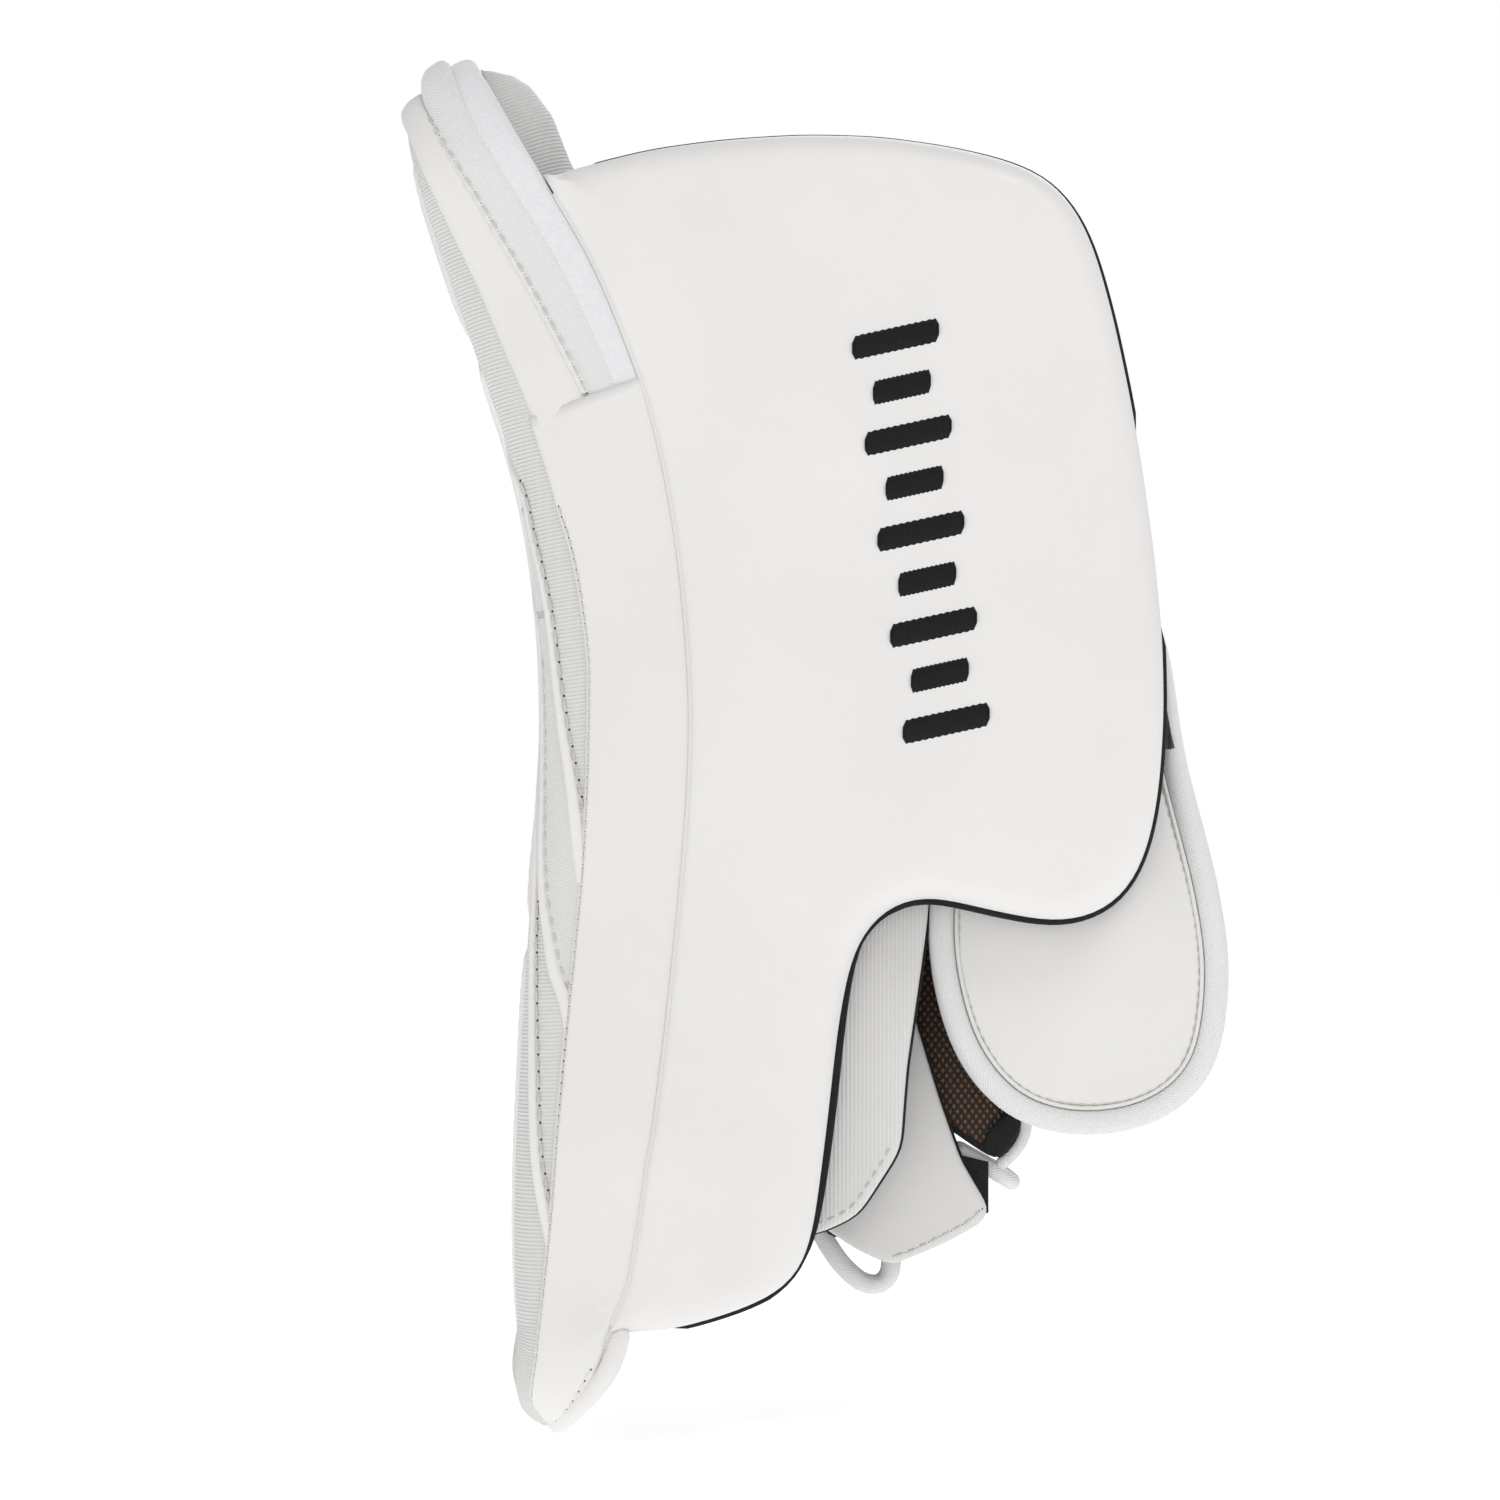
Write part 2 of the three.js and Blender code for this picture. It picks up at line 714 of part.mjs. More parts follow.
function addHandPads() {
  const pad = behindBoard(alongY(toPoints(HAND_PAD_EDGE), ...PAD_SIDES));
  add("hand_back_pad", cut(pad, ...screwHoles()), PALM);
  const [thumbSide, littleSide] = PALM_SIDES;
  const thumbWindow = box(THUMB_WINDOW.x, THUMB_WINDOW.y, THUMB_WINDOW.z);
  add("palm_panel", cut(alongY(toPoints(PALM_EDGE), thumbSide, littleSide), thumbWindow), PALM);
  add("palm_reinforcement", alongY(toPoints(PALM_PATCH_EDGE), ...PALM_PATCH_SIDES), PALM);
  const { thickness, gap, thumbLow, littleLow } = GUSSET;
  const thumbGusset = alongY(gussetOutline(thumbLow), thumbSide - gap - thickness, thumbSide - gap);
  const littleGusset = alongY(gussetOutline(littleLow), littleSide + gap, littleSide + gap + thickness);
  add("thumb_side_gusset", thumbGusset, BLACK_NYLON);
  add("little_side_gusset", littleGusset, BLACK_NYLON);
  add("thumb_crotch_gusset", alongY(toPoints(CROTCH_EDGE), ...CROTCH_LAYER), PALM);
}

function gussetOutline(low) {
  return toPoints([[PAD_FRONT + GAP, low], [50, low], [55, 28], [61.5, 62.5], [PAD_FRONT + GAP, 62.5]]);
}

function fingerRing(x, y, z, radius) {
  return roundedRect(x[0], y[0], x[1], y[1], radius).map((p) => new THREE.Vector3(p.x, p.y, z));
}

function shrink([low, high], amount) {
  return [low + amount, high - amount];
}

// A closed-ended pouch with its mouth up: one wall all round and a rounded tip.
function pouch(x, y, mouth, tip, wall) {
  const outer = sweep([
    fingerRing(x, y, mouth, 6),
    fingerRing(x, y, tip + 12, 6),
    fingerRing(shrink(x, 2), shrink(y, 1.5), tip + 4, 5),
    fingerRing(shrink(x, 6), shrink(y, 4), tip, 3),
  ]);
  const hollowX = shrink(x, wall);
  const hollowY = shrink(y, wall);
  const hollow = sweep([
    fingerRing(hollowX, hollowY, mouth + 5, 4),
    fingerRing(hollowX, hollowY, tip + 14, 4),
    fingerRing(shrink(hollowX, 3), shrink(hollowY, 2), tip + wall + 2, 3),
  ]);
  return cut(outer, hollow);
}

function addFingers() {
  for (const finger of FINGERS) {
    add(`${finger.name}_stall`, pouch(FINGER_X, finger.y, FINGER_MOUTH, finger.tip, FINGER_WALL), PALM);
  }
  add("index_sleeve", alongY(toPoints(INDEX_SLEEVE_EDGE), ...INDEX_SLEEVE_LAYER), LEATHER);
  add("index_tab", piping(INDEX_TAB_ROUTE, INDEX_TAB_WIDTH), NYLON);
}

// A round piped edge along a route of [x, y, z] points.
function piping(route, thickness) {
  const path = new THREE.CatmullRomCurve3(route.map((point) => new THREE.Vector3(...point)));
  const section = new THREE.Shape();
  section.absarc(0, 0, thickness / 2, 0, Math.PI * 2);
  return new THREE.ExtrudeGeometry(section, { steps: 12, extrudePath: path, curveSegments: 4 });
}

// ---------------------------------------------------------------- index finger guard
function addIndexGuard() {
  const outline = toPoints(INDEX_GUARD_EDGE);
  const guard = (points, [near, far]) => behindBoard(alongY(points, near, far));
  add("index_guard_skin", guard(outline, INDEX_GUARD_LAYER.skin), NYLON);
  add("index_guard_foam", guard(offset(outline, -1), INDEX_GUARD_LAYER.foam), FOAM);
  add("index_guard_liner", guard(outline, INDEX_GUARD_LAYER.liner), BLACK_NYLON);
}

// ---------------------------------------------------------------- thumb
function addThumb() {
  const edge = smoothClosed(THUMB_EDGE, 56);
  const seam = offset(edge, -THUMB_BINDING_WIDTH);
  const panel = offset(edge, -THUMB_BINDING_WIDTH - GAP);
  const opening = alongY(seam, THUMB_LAYER.binding[0] - 5, THUMB_LAYER.binding[1] + 5);
  add("thumb_outer_skin", alongY(panel, ...THUMB_LAYER.outer_skin), LEATHER);
  add("thumb_foam", alongY(panel, ...THUMB_LAYER.foam), FOAM);
  add("thumb_plastic", alongY(panel, ...THUMB_LAYER.plastic), PLASTIC);
  add("thumb_inner_skin", alongY(panel, ...THUMB_LAYER.inner_skin), BLACK_NYLON);
  add("thumb_binding", cut(alongY(edge, ...THUMB_LAYER.binding), opening), NYLON);
  const { x, y, mouth, tip } = THUMB_POUCH;
  add("thumb_stall", pouch(x, y, mouth, tip, FINGER_WALL), PALM);
  add("thumb_mesh_panel", alongY(toPoints(NETTING_EDGE), ...NETTING_LAYER), MESH_FABRIC);
  add("thumb_tab", piping(THUMB_TAB_ROUTE, THUMB_TAB_WIDTH), NYLON);
  add("thumb_hinge_tab", box(HINGE_TAB.x, HINGE_TAB.y, HINGE_TAB.z), BLACK_NYLON);
}

// ---------------------------------------------------------------- cuff and wrist strap
const STRAP = { x: [73.7, 76.5], freeY: 34, z: [77, 115] };
const STRAP_HINGE_Y = CUFF_SIDE[0] + 3.7;
const STRAP_SWING_GAP = 2.6; // from the hinge line to the sewn end, so that the peeled strap clears it

function addCuff() {
  const low = BACK_ROLL[0][0];
  const high = BACK_ROLL[BACK_ROLL.length - 1][0];
  const outer = BACK_ROLL.flatMap(([height, distance]) => backLine(distance, height, height, 1).slice(1));
  const roll = [...backLine(BACK_ROLL_GAP, low, high, 12), ...outer.reverse()];
  const padSpace = box([-60, 12], [0, 200], [low - 2, 200]);
  const side = behindBoard(alongY(toPoints(CUFF_WALL_EDGE), ...CUFF_SIDE));
  const rollEnd = CUFF_SIDE[1] + BACK_ROLL_PAST_CUFF;
  add("cuff_back_pad", behindBoard(alongY(roll, PAD_SIDES[0], rollEnd)), BLACK_NYLON);
  add("cuff_side_pad", cut(side, padSpace), BLACK_NYLON);
  add("cuff_palm_flap", patch(PALM_FLAP, PALM_FLAP.radius), PALM);
  add("loop_patch", patch(LOOP_PATCH, PATCH_RADIUS), BLACK_NYLON);
  add("strap_anchor", strapAnchor(), BLACK_NYLON);
}

// A flat piece square to the x axis with rounded corners.
function patch({ x, y, z }, radius) {
  return alongX(roundedRect(y[0], z[0], y[1], z[1], radius), ...x);
}

// The strap's sewn end: it lies on the cuff's side wall and turns round its corner to the palm side.
function strapAnchor() {
  const wall = CUFF_SIDE[1] + 0.4;
  const thickness = STRAP.x[1] - STRAP.x[0];
  const outline = toPoints([
    [40, wall],
    [STRAP.x[0], wall],
    [STRAP.x[0], STRAP_HINGE_Y + STRAP_SWING_GAP],
    [STRAP.x[1], STRAP_HINGE_Y + STRAP_SWING_GAP],
    [STRAP.x[1], wall + thickness],
    [40, wall + thickness],
  ]);
  return alongZ(outline, ...STRAP.z);
}

function addStrap() {
  const middle = (STRAP.x[0] + STRAP.x[1]) / 2;
  const radius = (STRAP.x[1] - STRAP.x[0]) / 2;
  const outline = new THREE.Shape();
  outline.moveTo(STRAP.x[0], STRAP.freeY);
  outline.lineTo(STRAP.x[1], STRAP.freeY);
  outline.absarc(middle, STRAP_HINGE_Y, radius, 0, Math.PI);
  const points = outline.extractPoints(4).shape;
  add("wrist_strap", alongZ(points, ...STRAP.z), BLACK_NYLON);
  add("hook_patch", patch(HOOK_PATCH, PATCH_RADIUS), BLACK_NYLON);
  add("strap_end_tab", patch(GRIP, PATCH_RADIUS), RUBBER);
}

addBoard();
addEdgeTrim();
addSideWrap();
addSideBoard();
addHandPads();
addFingers();
addIndexGuard();
addThumb();
addCuff();
addStrap();

export default blocker;
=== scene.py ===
"""Goalie blocker: the looks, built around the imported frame.

Points are worked out in millimetres in the board's own coordinates, as the design is: +Z up the board to
the wrist, +X from the strike face to the palm, +Y from the thumb edge to the little finger. They become
metres in the row frame when a mesh is made. The board's surfaces and the outlines of the plates are read
from the frame.
"""

import math

import bmesh
import bpy
import numpy as np
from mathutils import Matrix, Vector, noise
from mathutils.bvhtree import BVHTree
from mathutils.geometry import delaunay_2d_cdt


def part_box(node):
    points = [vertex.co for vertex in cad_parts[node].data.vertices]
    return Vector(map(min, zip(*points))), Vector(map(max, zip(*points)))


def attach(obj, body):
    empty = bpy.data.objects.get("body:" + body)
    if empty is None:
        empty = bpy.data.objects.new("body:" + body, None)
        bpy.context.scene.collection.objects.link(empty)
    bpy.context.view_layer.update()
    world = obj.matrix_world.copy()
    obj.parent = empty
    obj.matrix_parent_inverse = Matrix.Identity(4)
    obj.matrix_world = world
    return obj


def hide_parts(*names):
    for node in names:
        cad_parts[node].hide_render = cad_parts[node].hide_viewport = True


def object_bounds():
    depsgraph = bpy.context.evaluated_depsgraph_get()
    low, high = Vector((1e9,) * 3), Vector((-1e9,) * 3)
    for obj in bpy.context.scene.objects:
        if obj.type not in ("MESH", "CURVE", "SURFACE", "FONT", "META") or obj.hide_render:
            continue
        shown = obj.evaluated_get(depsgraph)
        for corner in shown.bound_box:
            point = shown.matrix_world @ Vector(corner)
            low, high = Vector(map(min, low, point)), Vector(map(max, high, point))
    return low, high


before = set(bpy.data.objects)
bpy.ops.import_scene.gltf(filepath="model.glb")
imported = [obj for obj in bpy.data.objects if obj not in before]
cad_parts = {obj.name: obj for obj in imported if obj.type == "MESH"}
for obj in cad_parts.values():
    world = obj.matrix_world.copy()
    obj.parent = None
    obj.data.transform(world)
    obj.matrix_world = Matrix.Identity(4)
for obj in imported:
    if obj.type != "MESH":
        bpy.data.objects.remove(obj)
CAD_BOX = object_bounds()

MM = 0.001
MOUTH = Vector((30, 88, 130))  # the row frame's origin, the hand pocket's mouth, in board coordinates


def to_row(point):
    return (Vector(point) - MOUTH) * MM


def to_board(point):
    return Vector(point) / MM + MOUTH


def node_box(name):
    low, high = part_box(name)
    return to_board(low), to_board(high)


def lerp(a, b, t):
    return a + (b - a) * t


def clamp(value, low=0.0, high=1.0):
    return max(low, min(high, value))


def table_value(table, at):
    """Value at a place in a table of (place, value) rows, held level past both ends."""
    for (start, a), (end, b) in zip(table, table[1:]):
        share = (at - start) / (end - start)
        if share <= 1:
            return lerp(a, b, max(share, 0.0))
    return table[-1][1]


def squared(value, power):
    """A sine or cosine made fuller, for sections between round and square."""
    return math.copysign(abs(value) ** power, value)


# ---------------------------------------------------------------- curves
def spline(points):
    """A smooth line through the points."""
    dense = 10
    points = [Vector(p) for p in points]
    line = []
    for i, (here, there) in enumerate(zip(points, points[1:])):
        before = points[i - 1] if i > 0 else here * 2 - there
        after = points[i + 2] if i + 2 < len(points) else there * 2 - here
        for k in range(dense):
            t = k / dense
            sway = (before * 2 - here * 5 + there * 4 - after) * t**2
            turn = (here * 3 - before - there * 3 + after) * t**3
            line.append(0.5 * (here * 2 + (there - before) * t + sway + turn))
    return line + [points[-1]]


def resample(points, spacing, closed=False):
    """The same line with its points an even distance apart."""
    points = [Vector(p) for p in points]
    if closed:
        points = points + [points[0]]
    lengths = [0.0]
    for a, b in zip(points, points[1:]):
        lengths.append(lengths[-1] + (b - a).length)
    count = max(3, round(lengths[-1] / spacing))
    result = []
    k = 0
    for i in range(count if closed else count + 1):
        target = lengths[-1] * i / count
        while k < len(points) - 2 and lengths[k + 1] < target:
            k += 1
        span = max(lengths[k + 1] - lengths[k], 1e-9)
        result.append(points[k].lerp(points[k + 1], clamp((target - lengths[k]) / span)))
    return result


def relax(points, passes, closed=True):
    """Rounds the corners of an evenly spaced line."""
    count = len(points)
    for _ in range(passes):
        points = [
            p if not closed and i in (0, count - 1)
            else p * 0.5 + (points[i - 1] + points[(i + 1) % count]) * 0.25
            for i, p in enumerate(points)
        ]
    return points


def signed_area(points):
    return sum(a.x * b.y - b.x * a.y for a, b in zip(points, points[1:] + points[:1])) / 2


def inset(points, distance):
    """A closed outline moved inwards."""
    sign = 1 if signed_area(points) > 0 else -1
    result = []
    for i, p in enumerate(points):
        along = (points[(i + 1) % len(points)] - points[i - 1]).normalized()
        result.append(p + Vector((-along.y, along.x)) * sign * distance)
    return result


def distances(points, line, closed=True):
    """Distance from each point to a line, in one plane."""
    p = np.array([tuple(q)[:2] for q in points])[:, None, :]
    a = np.array([tuple(q)[:2] for q in line])
    b = np.roll(a, -1, axis=0)
    if not closed:
        a = a[:-1]
        b = b[:-1]
    d = b - a
    t = np.clip(((p - a) * d).sum(-1) / np.maximum((d * d).sum(-1), 1e-12), 0, 1)
    return np.sqrt((((a + t[..., None] * d) - p) ** 2).sum(-1)).min(1)


def inside(points, line):
    """Whether each point lies inside a closed outline."""
    p = np.array([tuple(q)[:2] for q in points])
    a = np.array([tuple(q)[:2] for q in line])
    b = np.roll(a, -1, axis=0)
    x = p[:, 0][:, None]
    y = p[:, 1][:, None]
    crosses = (a[:, 1] > y) != (b[:, 1] > y)
    rise = np.where(np.abs(b[:, 1] - a[:, 1]) < 1e-12, 1e-12, b[:, 1] - a[:, 1])
    at = a[:, 0] + (y - a[:, 1]) * (b[:, 0] - a[:, 0]) / rise
    return (crosses & (x < at)).sum(1) % 2 == 1


# ---------------------------------------------------------------- reading the frame
def node_mesh(name):
    bm = bmesh.new()
    bm.from_mesh(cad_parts[name].data)
    bmesh.ops.remove_doubles(bm, verts=bm.verts, dist=1e-6)
    for vert in bm.verts:
        vert.co = to_board(vert.co)
    bm.normal_update()
    return bm


def flat_outline(name, axis, level):
    """Outline of a node's flat face square to an axis (0 is x, 1 is y), as points in the other two axes."""
    bm = node_mesh(name)
    flat = {
        f for f in bm.faces
        if abs(f.normal[axis]) > 0.99 and abs(f.calc_center_median()[axis] - level) < 0.1
    }
    step = {}
    for edge in bm.edges:
        on = [f for f in edge.link_faces if f in flat]
        if len(on) == 1:
            loop = next(l for l in on[0].loops if l.edge == edge)
            step[loop.vert] = loop.link_loop_next.vert
    others = [k for k in range(3) if k != axis]
    loops = []
    while step:
        vert = next(iter(step))
        points = []
        while vert in step:
            points.append(Vector([vert.co[k] for k in others]))
            vert = step.pop(vert)
        loops.append(points)
    bm.free()
    longest = max(loops, key=lambda points: abs(signed_area(points)))
    return longest if signed_area(longest) > 0 else longest[::-1]


class Profile:
    """A smooth curve x(z) of the board's front or back surface, read from a node."""

    COUNT = 22
    END = 1.0

    def __init__(self, name, side):
        bm = node_mesh(name)
        tree = BVHTree.FromBMesh(bm)
        bm.free()
        low, high = node_box(name)
        self.low = low.z
        self.high = high.z
        self.start = low.z + self.END
        self.step = (high.z - low.z - 2 * self.END) / (self.COUNT - 1)
        self.values = []
        for i in range(self.COUNT):
            origin = Vector((side * 400, (low.y + high.y) / 2 + 9, self.start + i * self.step))
            self.values.append(tree.ray_cast(origin, Vector((-side, 0, 0)))[0].x)

    def slope(self, i):
        a = max(i - 1, 0)
        b = min(i + 1, self.COUNT - 1)
        return (self.values[b] - self.values[a]) / (b - a)

    def __call__(self, z):
        place = (z - self.start) / self.step
        i = int(clamp(math.floor(place), 0, self.COUNT - 2))
        t = place - i
        if t < 0:
            return self.values[0] + self.slope(0) * t
        if t > 1:
            return self.values[-1] + self.slope(self.COUNT - 1) * (t - 1)
        a = self.values[i]
        b = self.values[i + 1]
        rise = self.slope(i) * (t**3 - 2 * t**2 + t) + self.slope(i + 1) * (t**3 - t**2)
        return a * (2 * t**3 - 3 * t**2 + 1) + b * (3 * t**2 - 2 * t**3) + rise


# ---------------------------------------------------------------- the board's rim
FRONT = Profile("face_skin", -1)
BACK = Profile("back_skin", 1)
SKIN_LOW, SKIN_HIGH = node_box("face_skin")
SIDE_LOW = SKIN_LOW.y
SIDE_HIGH = SKIN_HIGH.y
HEIGHT_LOW = (FRONT.low + BACK.low) / 2
HEIGHT_HIGH = (FRONT.high + BACK.high) / 2
CORNER = 28.0  # corner radius of the board seen from the front
EDGE_RADIUS = 12.0  # rounding from the strike face into the rim
WRIST_RADIUS = 4.0  # the same rounding at the wrist end
FINGER_RADIUS = 3.0  # and at the finger end
WRIST_ROUNDING = 42.0  # distance below the wrist end over which the rounding tightens
FINGER_ROUNDING = 26.0
RIM_BULGE = 0.8

STRAIGHT_SIDE = HEIGHT_HIGH - HEIGHT_LOW - 2 * CORNER
STRAIGHT_END = SIDE_HIGH - SIDE_LOW - 2 * CORNER
ARC = math.pi / 2 * CORNER
RIM_LENGTH = 2 * (STRAIGHT_SIDE + STRAIGHT_END) + 4 * ARC


def rim(t):
    """Point (y, height) and outward normal of the board's outline, t mm along it: from the low end of the
    thumb side up to the wrist end, across, down the far side and back along the finger end."""
    t %= RIM_LENGTH
    y_low = SIDE_LOW + CORNER
    y_high = SIDE_HIGH - CORNER
    h_low = HEIGHT_LOW + CORNER
    h_high = HEIGHT_HIGH - CORNER
    runs = [
        (STRAIGHT_SIDE, (SIDE_LOW, h_low), (0, 1), (-1, 0), (y_low, h_high)),
        (STRAIGHT_END, (y_low, HEIGHT_HIGH), (1, 0), (0, 1), (y_high, h_high)),
        (STRAIGHT_SIDE, (SIDE_HIGH, h_high), (0, -1), (1, 0), (y_high, h_low)),
        (STRAIGHT_END, (y_high, HEIGHT_LOW), (-1, 0), (0, -1), (y_low, h_low)),
    ]
    for length, start, along, normal, centre in runs:
        if t <= length:
            return start[0] + along[0] * t, start[1] + along[1] * t, normal[0], normal[1]
        t -= length
        if t <= ARC:
            angle = t / CORNER
            ny = normal[0] * math.cos(angle) + along[0] * math.sin(angle)
            nh = normal[1] * math.cos(angle) + along[1] * math.sin(angle)
            return centre[0] + ny * CORNER, centre[1] + nh * CORNER, ny, nh
        t -= ARC
    return SIDE_LOW, h_low, -1, 0


def rim_place(height):
    """The t of a height on the thumb side, also round its two corners."""
    low = HEIGHT_LOW + CORNER
    high = HEIGHT_HIGH - CORNER
    if height < low:
        return -CORNER * math.asin(clamp((low - height) / CORNER))
    if height > high:
        return STRAIGHT_SIDE + CORNER * math.asin(clamp((height - high) / CORNER))
    return height - low


def slice_ends(height):
    """Matched points (x, z) on the strike face and the back."""
    s = (height - HEIGHT_LOW) / (HEIGHT_HIGH - HEIGHT_LOW)
    z_front = lerp(FRONT.low, FRONT.high, s)
    z_back = lerp(BACK.low, BACK.high, s)
    return Vector((FRONT(z_front), z_front)), Vector((BACK(z_back), z_back))


def thickness(height):
    front, back = slice_ends(clamp(height, HEIGHT_LOW, HEIGHT_HIGH))
    return (back - front).length


def board_point(y, height, depth):
    front, back = slice_ends(height)
    place = front + (back - front).normalized() * depth
    return Vector((place.x, y, place.y))


def edge_radius(height):
    tight = clamp((height - HEIGHT_HIGH + WRIST_ROUNDING) / WRIST_ROUNDING)
    low = clamp((HEIGHT_LOW + FINGER_ROUNDING - height) / FINGER_ROUNDING)
    radius = lerp(lerp(EDGE_RADIUS, WRIST_RADIUS, tight), FINGER_RADIUS, low)
    return min(radius, 0.42 * thickness(height))


def skin_point(t, q, lift=0.0):
    """A point of the board's cover. q runs across the rim: below 0 it is on the strike face, 0 is where the
    rounding starts, and past the rounding it goes down the rim's wall. lift is the distance off the cover."""
    y, height, ny, nh = rim(t)
    radius = edge_radius(height)
    if q <= 0:
        return board_point(y - ny * (radius - q), height - nh * (radius - q), -lift)
    angle = min(q / radius, math.pi / 2)
    back_in = radius * (1 - math.sin(angle))
    depth = radius * (1 - math.cos(angle))
    wall = q - radius * math.pi / 2
    if wall > 0:
        room = thickness(height) - radius
        depth += wall
        back_in -= RIM_BULGE * math.sin(math.pi * clamp(wall / room))
    back_in -= lift * math.sin(angle)
    return board_point(y - ny * back_in, height - nh * back_in, depth - lift * math.cos(angle))


def across(height, depth):
    """The q of a depth behind the strike face."""
    radius = edge_radius(height)
    if depth < radius:
        return radius * math.acos(clamp(1 - depth / radius, -1))
    return radius * math.pi / 2 + depth - radius


def side_place(x, z):
    """(t, q) of a point of the thumb side given as seen from that side."""
    height = z
    depth = 0.0
    for _ in range(6):
        front, back = slice_ends(height)
        run = (back - front).normalized()
        offset = Vector((x, z)) - front
        depth = offset.dot(run)
        height += (offset - run * depth).dot(Vector((-run.y, run.x)))
    height = clamp(height, HEIGHT_LOW, HEIGHT_HIGH)
    return rim_place(height), across(height, max(depth, 0.0))


# ---------------------------------------------------------------- meshes
def linked(name, data):
    """A new object in the scene."""
    obj = bpy.data.objects.new(name, data)
    bpy.context.scene.collection.objects.link(obj)
    return obj


def place(obj, body, slot, *nodes):
    """Says which body carries a piece, and hides the nodes that it replaces. The slot is not used."""
    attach(obj, body)
    if nodes:
        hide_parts(*nodes)
    return obj


def new_mesh(name, points, faces, material, where, corner_uvs=None, sharp=None):
    """A placed piece from points in board coordinates. where is what place says of it, and corner_uvs holds
    each face corner's weave coordinates."""
    mesh = bpy.data.meshes.new(name)
    mesh.from_pydata([to_row(p) for p in points], [], faces)
    if corner_uvs:
        layer = mesh.uv_layers.new(name="weave")
        layer.data.foreach_set("uv", [value for uv in corner_uvs for value in uv])
    bm = bmesh.new()
    bm.from_mesh(mesh)
    bmesh.ops.recalc_face_normals(bm, faces=bm.faces)
    bm.to_mesh(mesh)
    bm.free()
    mesh.materials.append(MATERIALS[material])
    mesh.shade_smooth()
    if sharp:
        mesh.set_sharp_from_angle(angle=math.radians(sharp))
    return place(linked(name, mesh), *where)


def sweep(name, sections, material, where, closed=False, gauge=0):
    """A solid through matching closed sections. Weave coordinates are in mm: along, measured at each
    section's gauge point, then round."""
    size = len(sections[0])
    count = len(sections)
    points = [p for section in sections for p in section]
    along = [0.0]
    for i in range(count):
        step = (Vector(sections[(i + 1) % count][gauge]) - Vector(sections[i][gauge])).length
        along.append(along[-1] + step)
    round_ = [0.0]
    middle = sections[count // 2]
    for j in range(size):
        round_.append(round_[-1] + (Vector(middle[(j + 1) % size]) - Vector(middle[j])).length)
    faces = []
    uvs = []
    for i in range(count if closed else count - 1):
        far = (i + 1) % count
        for j in range(size):
            k = (j + 1) % size
            faces.append((i * size + j, i * size + k, far * size + k, far * size + j))
            uvs += [
                (along[i], round_[j]),
                (along[i], round_[j + 1]),
                (along[i + 1], round_[j + 1]),
                (along[i + 1], round_[j]),
            ]
    if not closed:
        for ring, place in ((0, along[0]), ((count - 1) * size, along[count - 1])):
            faces.append(tuple(range(ring, ring + size)))
            uvs += [(place, round_[j]) for j in range(size)]
    return new_mesh(name, points, faces, material, where, uvs)


def frames_along(path, closed=False):
    """Direction and two side directions at each point of a path, turning as little as possible."""
    count = len(path)
    side = None
    result = []
    for i, p in enumerate(path):
        a = path[i - 1] if closed or i > 0 else p
        b = path[(i + 1) % count] if closed or i + 1 < count else p
        along = (b - a).normalized()
        if side is None:
            side = along.orthogonal().normalized()
        side = (side - along * side.dot(along)).normalized()
        result.append((along, side, along.cross(side)))
    return result


def tube(name, path, radius, material, where, closed=False, sides=8):
    """A round roll along a path, with round ends."""
    path = [Vector(p) for p in path]
    steps = frames_along(path, closed)
    rings = [(path[i], radius, steps[i]) for i in range(len(path))]
    if not closed:
        for end, sign in ((0, -1), (-1, 1)):
            along = steps[end][0] * sign
            caps = [
                (path[end] + along * radius * math.sin(a), radius * max(math.cos(a), 0.08), steps[end])
                for a in (math.radians(30), math.radians(60), math.radians(88))
            ]
            rings = caps[::-1] + rings if end == 0 else rings + caps
    sections = []
    for centre, size, (_, u, v) in rings:
        angles = [2 * math.pi * k / sides for k in range(sides)]
        sections.append([centre + (u * math.cos(a) + v * math.sin(a)) * size for a in angles])
    return sweep(name, sections, material, where, closed)


def crown(v, power=4.0):
    """Height across a soft strip: 0 at both edges, 1 in the middle."""
    return math.sqrt(max(0.0, 1 - abs(2 * v - 1) ** power))


def band(name, places, edges, material, where, height, power=4.0):
    """A soft strip on the board's cover; edges(t) gives the q of its two edges and height(t) its rise."""
    sink = 0.8
    steps = 10
    sections = []
    for t in places:
        q0, q1 = edges(t)
        tall = height(t)
        rises = [(lerp(q0, q1, j / steps), tall * crown(j / steps, power)) for j in range(steps + 1)]
        top = [skin_point(t, q, rise) for q, rise in rises]
        sections.append(top + [skin_point(t, q1, -sink), skin_point(t, q0, -sink)])
    return sweep(name, sections, material, where)


def ribbon(name, places, width, material, where):
    """A narrow strip along a route of (t, q) places on the board's cover; width(share) is its width."""
    height = 1.0
    sink = 0.6
    steps = 5
    route = resample(spline(places), 2.0)
    sections = []
    for i, here in enumerate(route):
        ahead = route[min(i + 1, len(route) - 1)] - route[max(i - 1, 0)]
        side = Vector((-ahead.y, ahead.x, 0)).normalized() * width(i / (len(route) - 1)) / 2
        tall = height * clamp((i + 1) / 9)
        section = []
        for j in range(steps + 1):
            spot = here + side * (2 * j / steps - 1)
            section.append(skin_point(spot.x, spot.y, tall * crown(j / steps, 3.0)))
        for spot in (here + side, here - side):
            section.append(skin_point(spot.x, spot.y, -sink))
        sections.append(section)
    return sweep(name, sections, material, where)


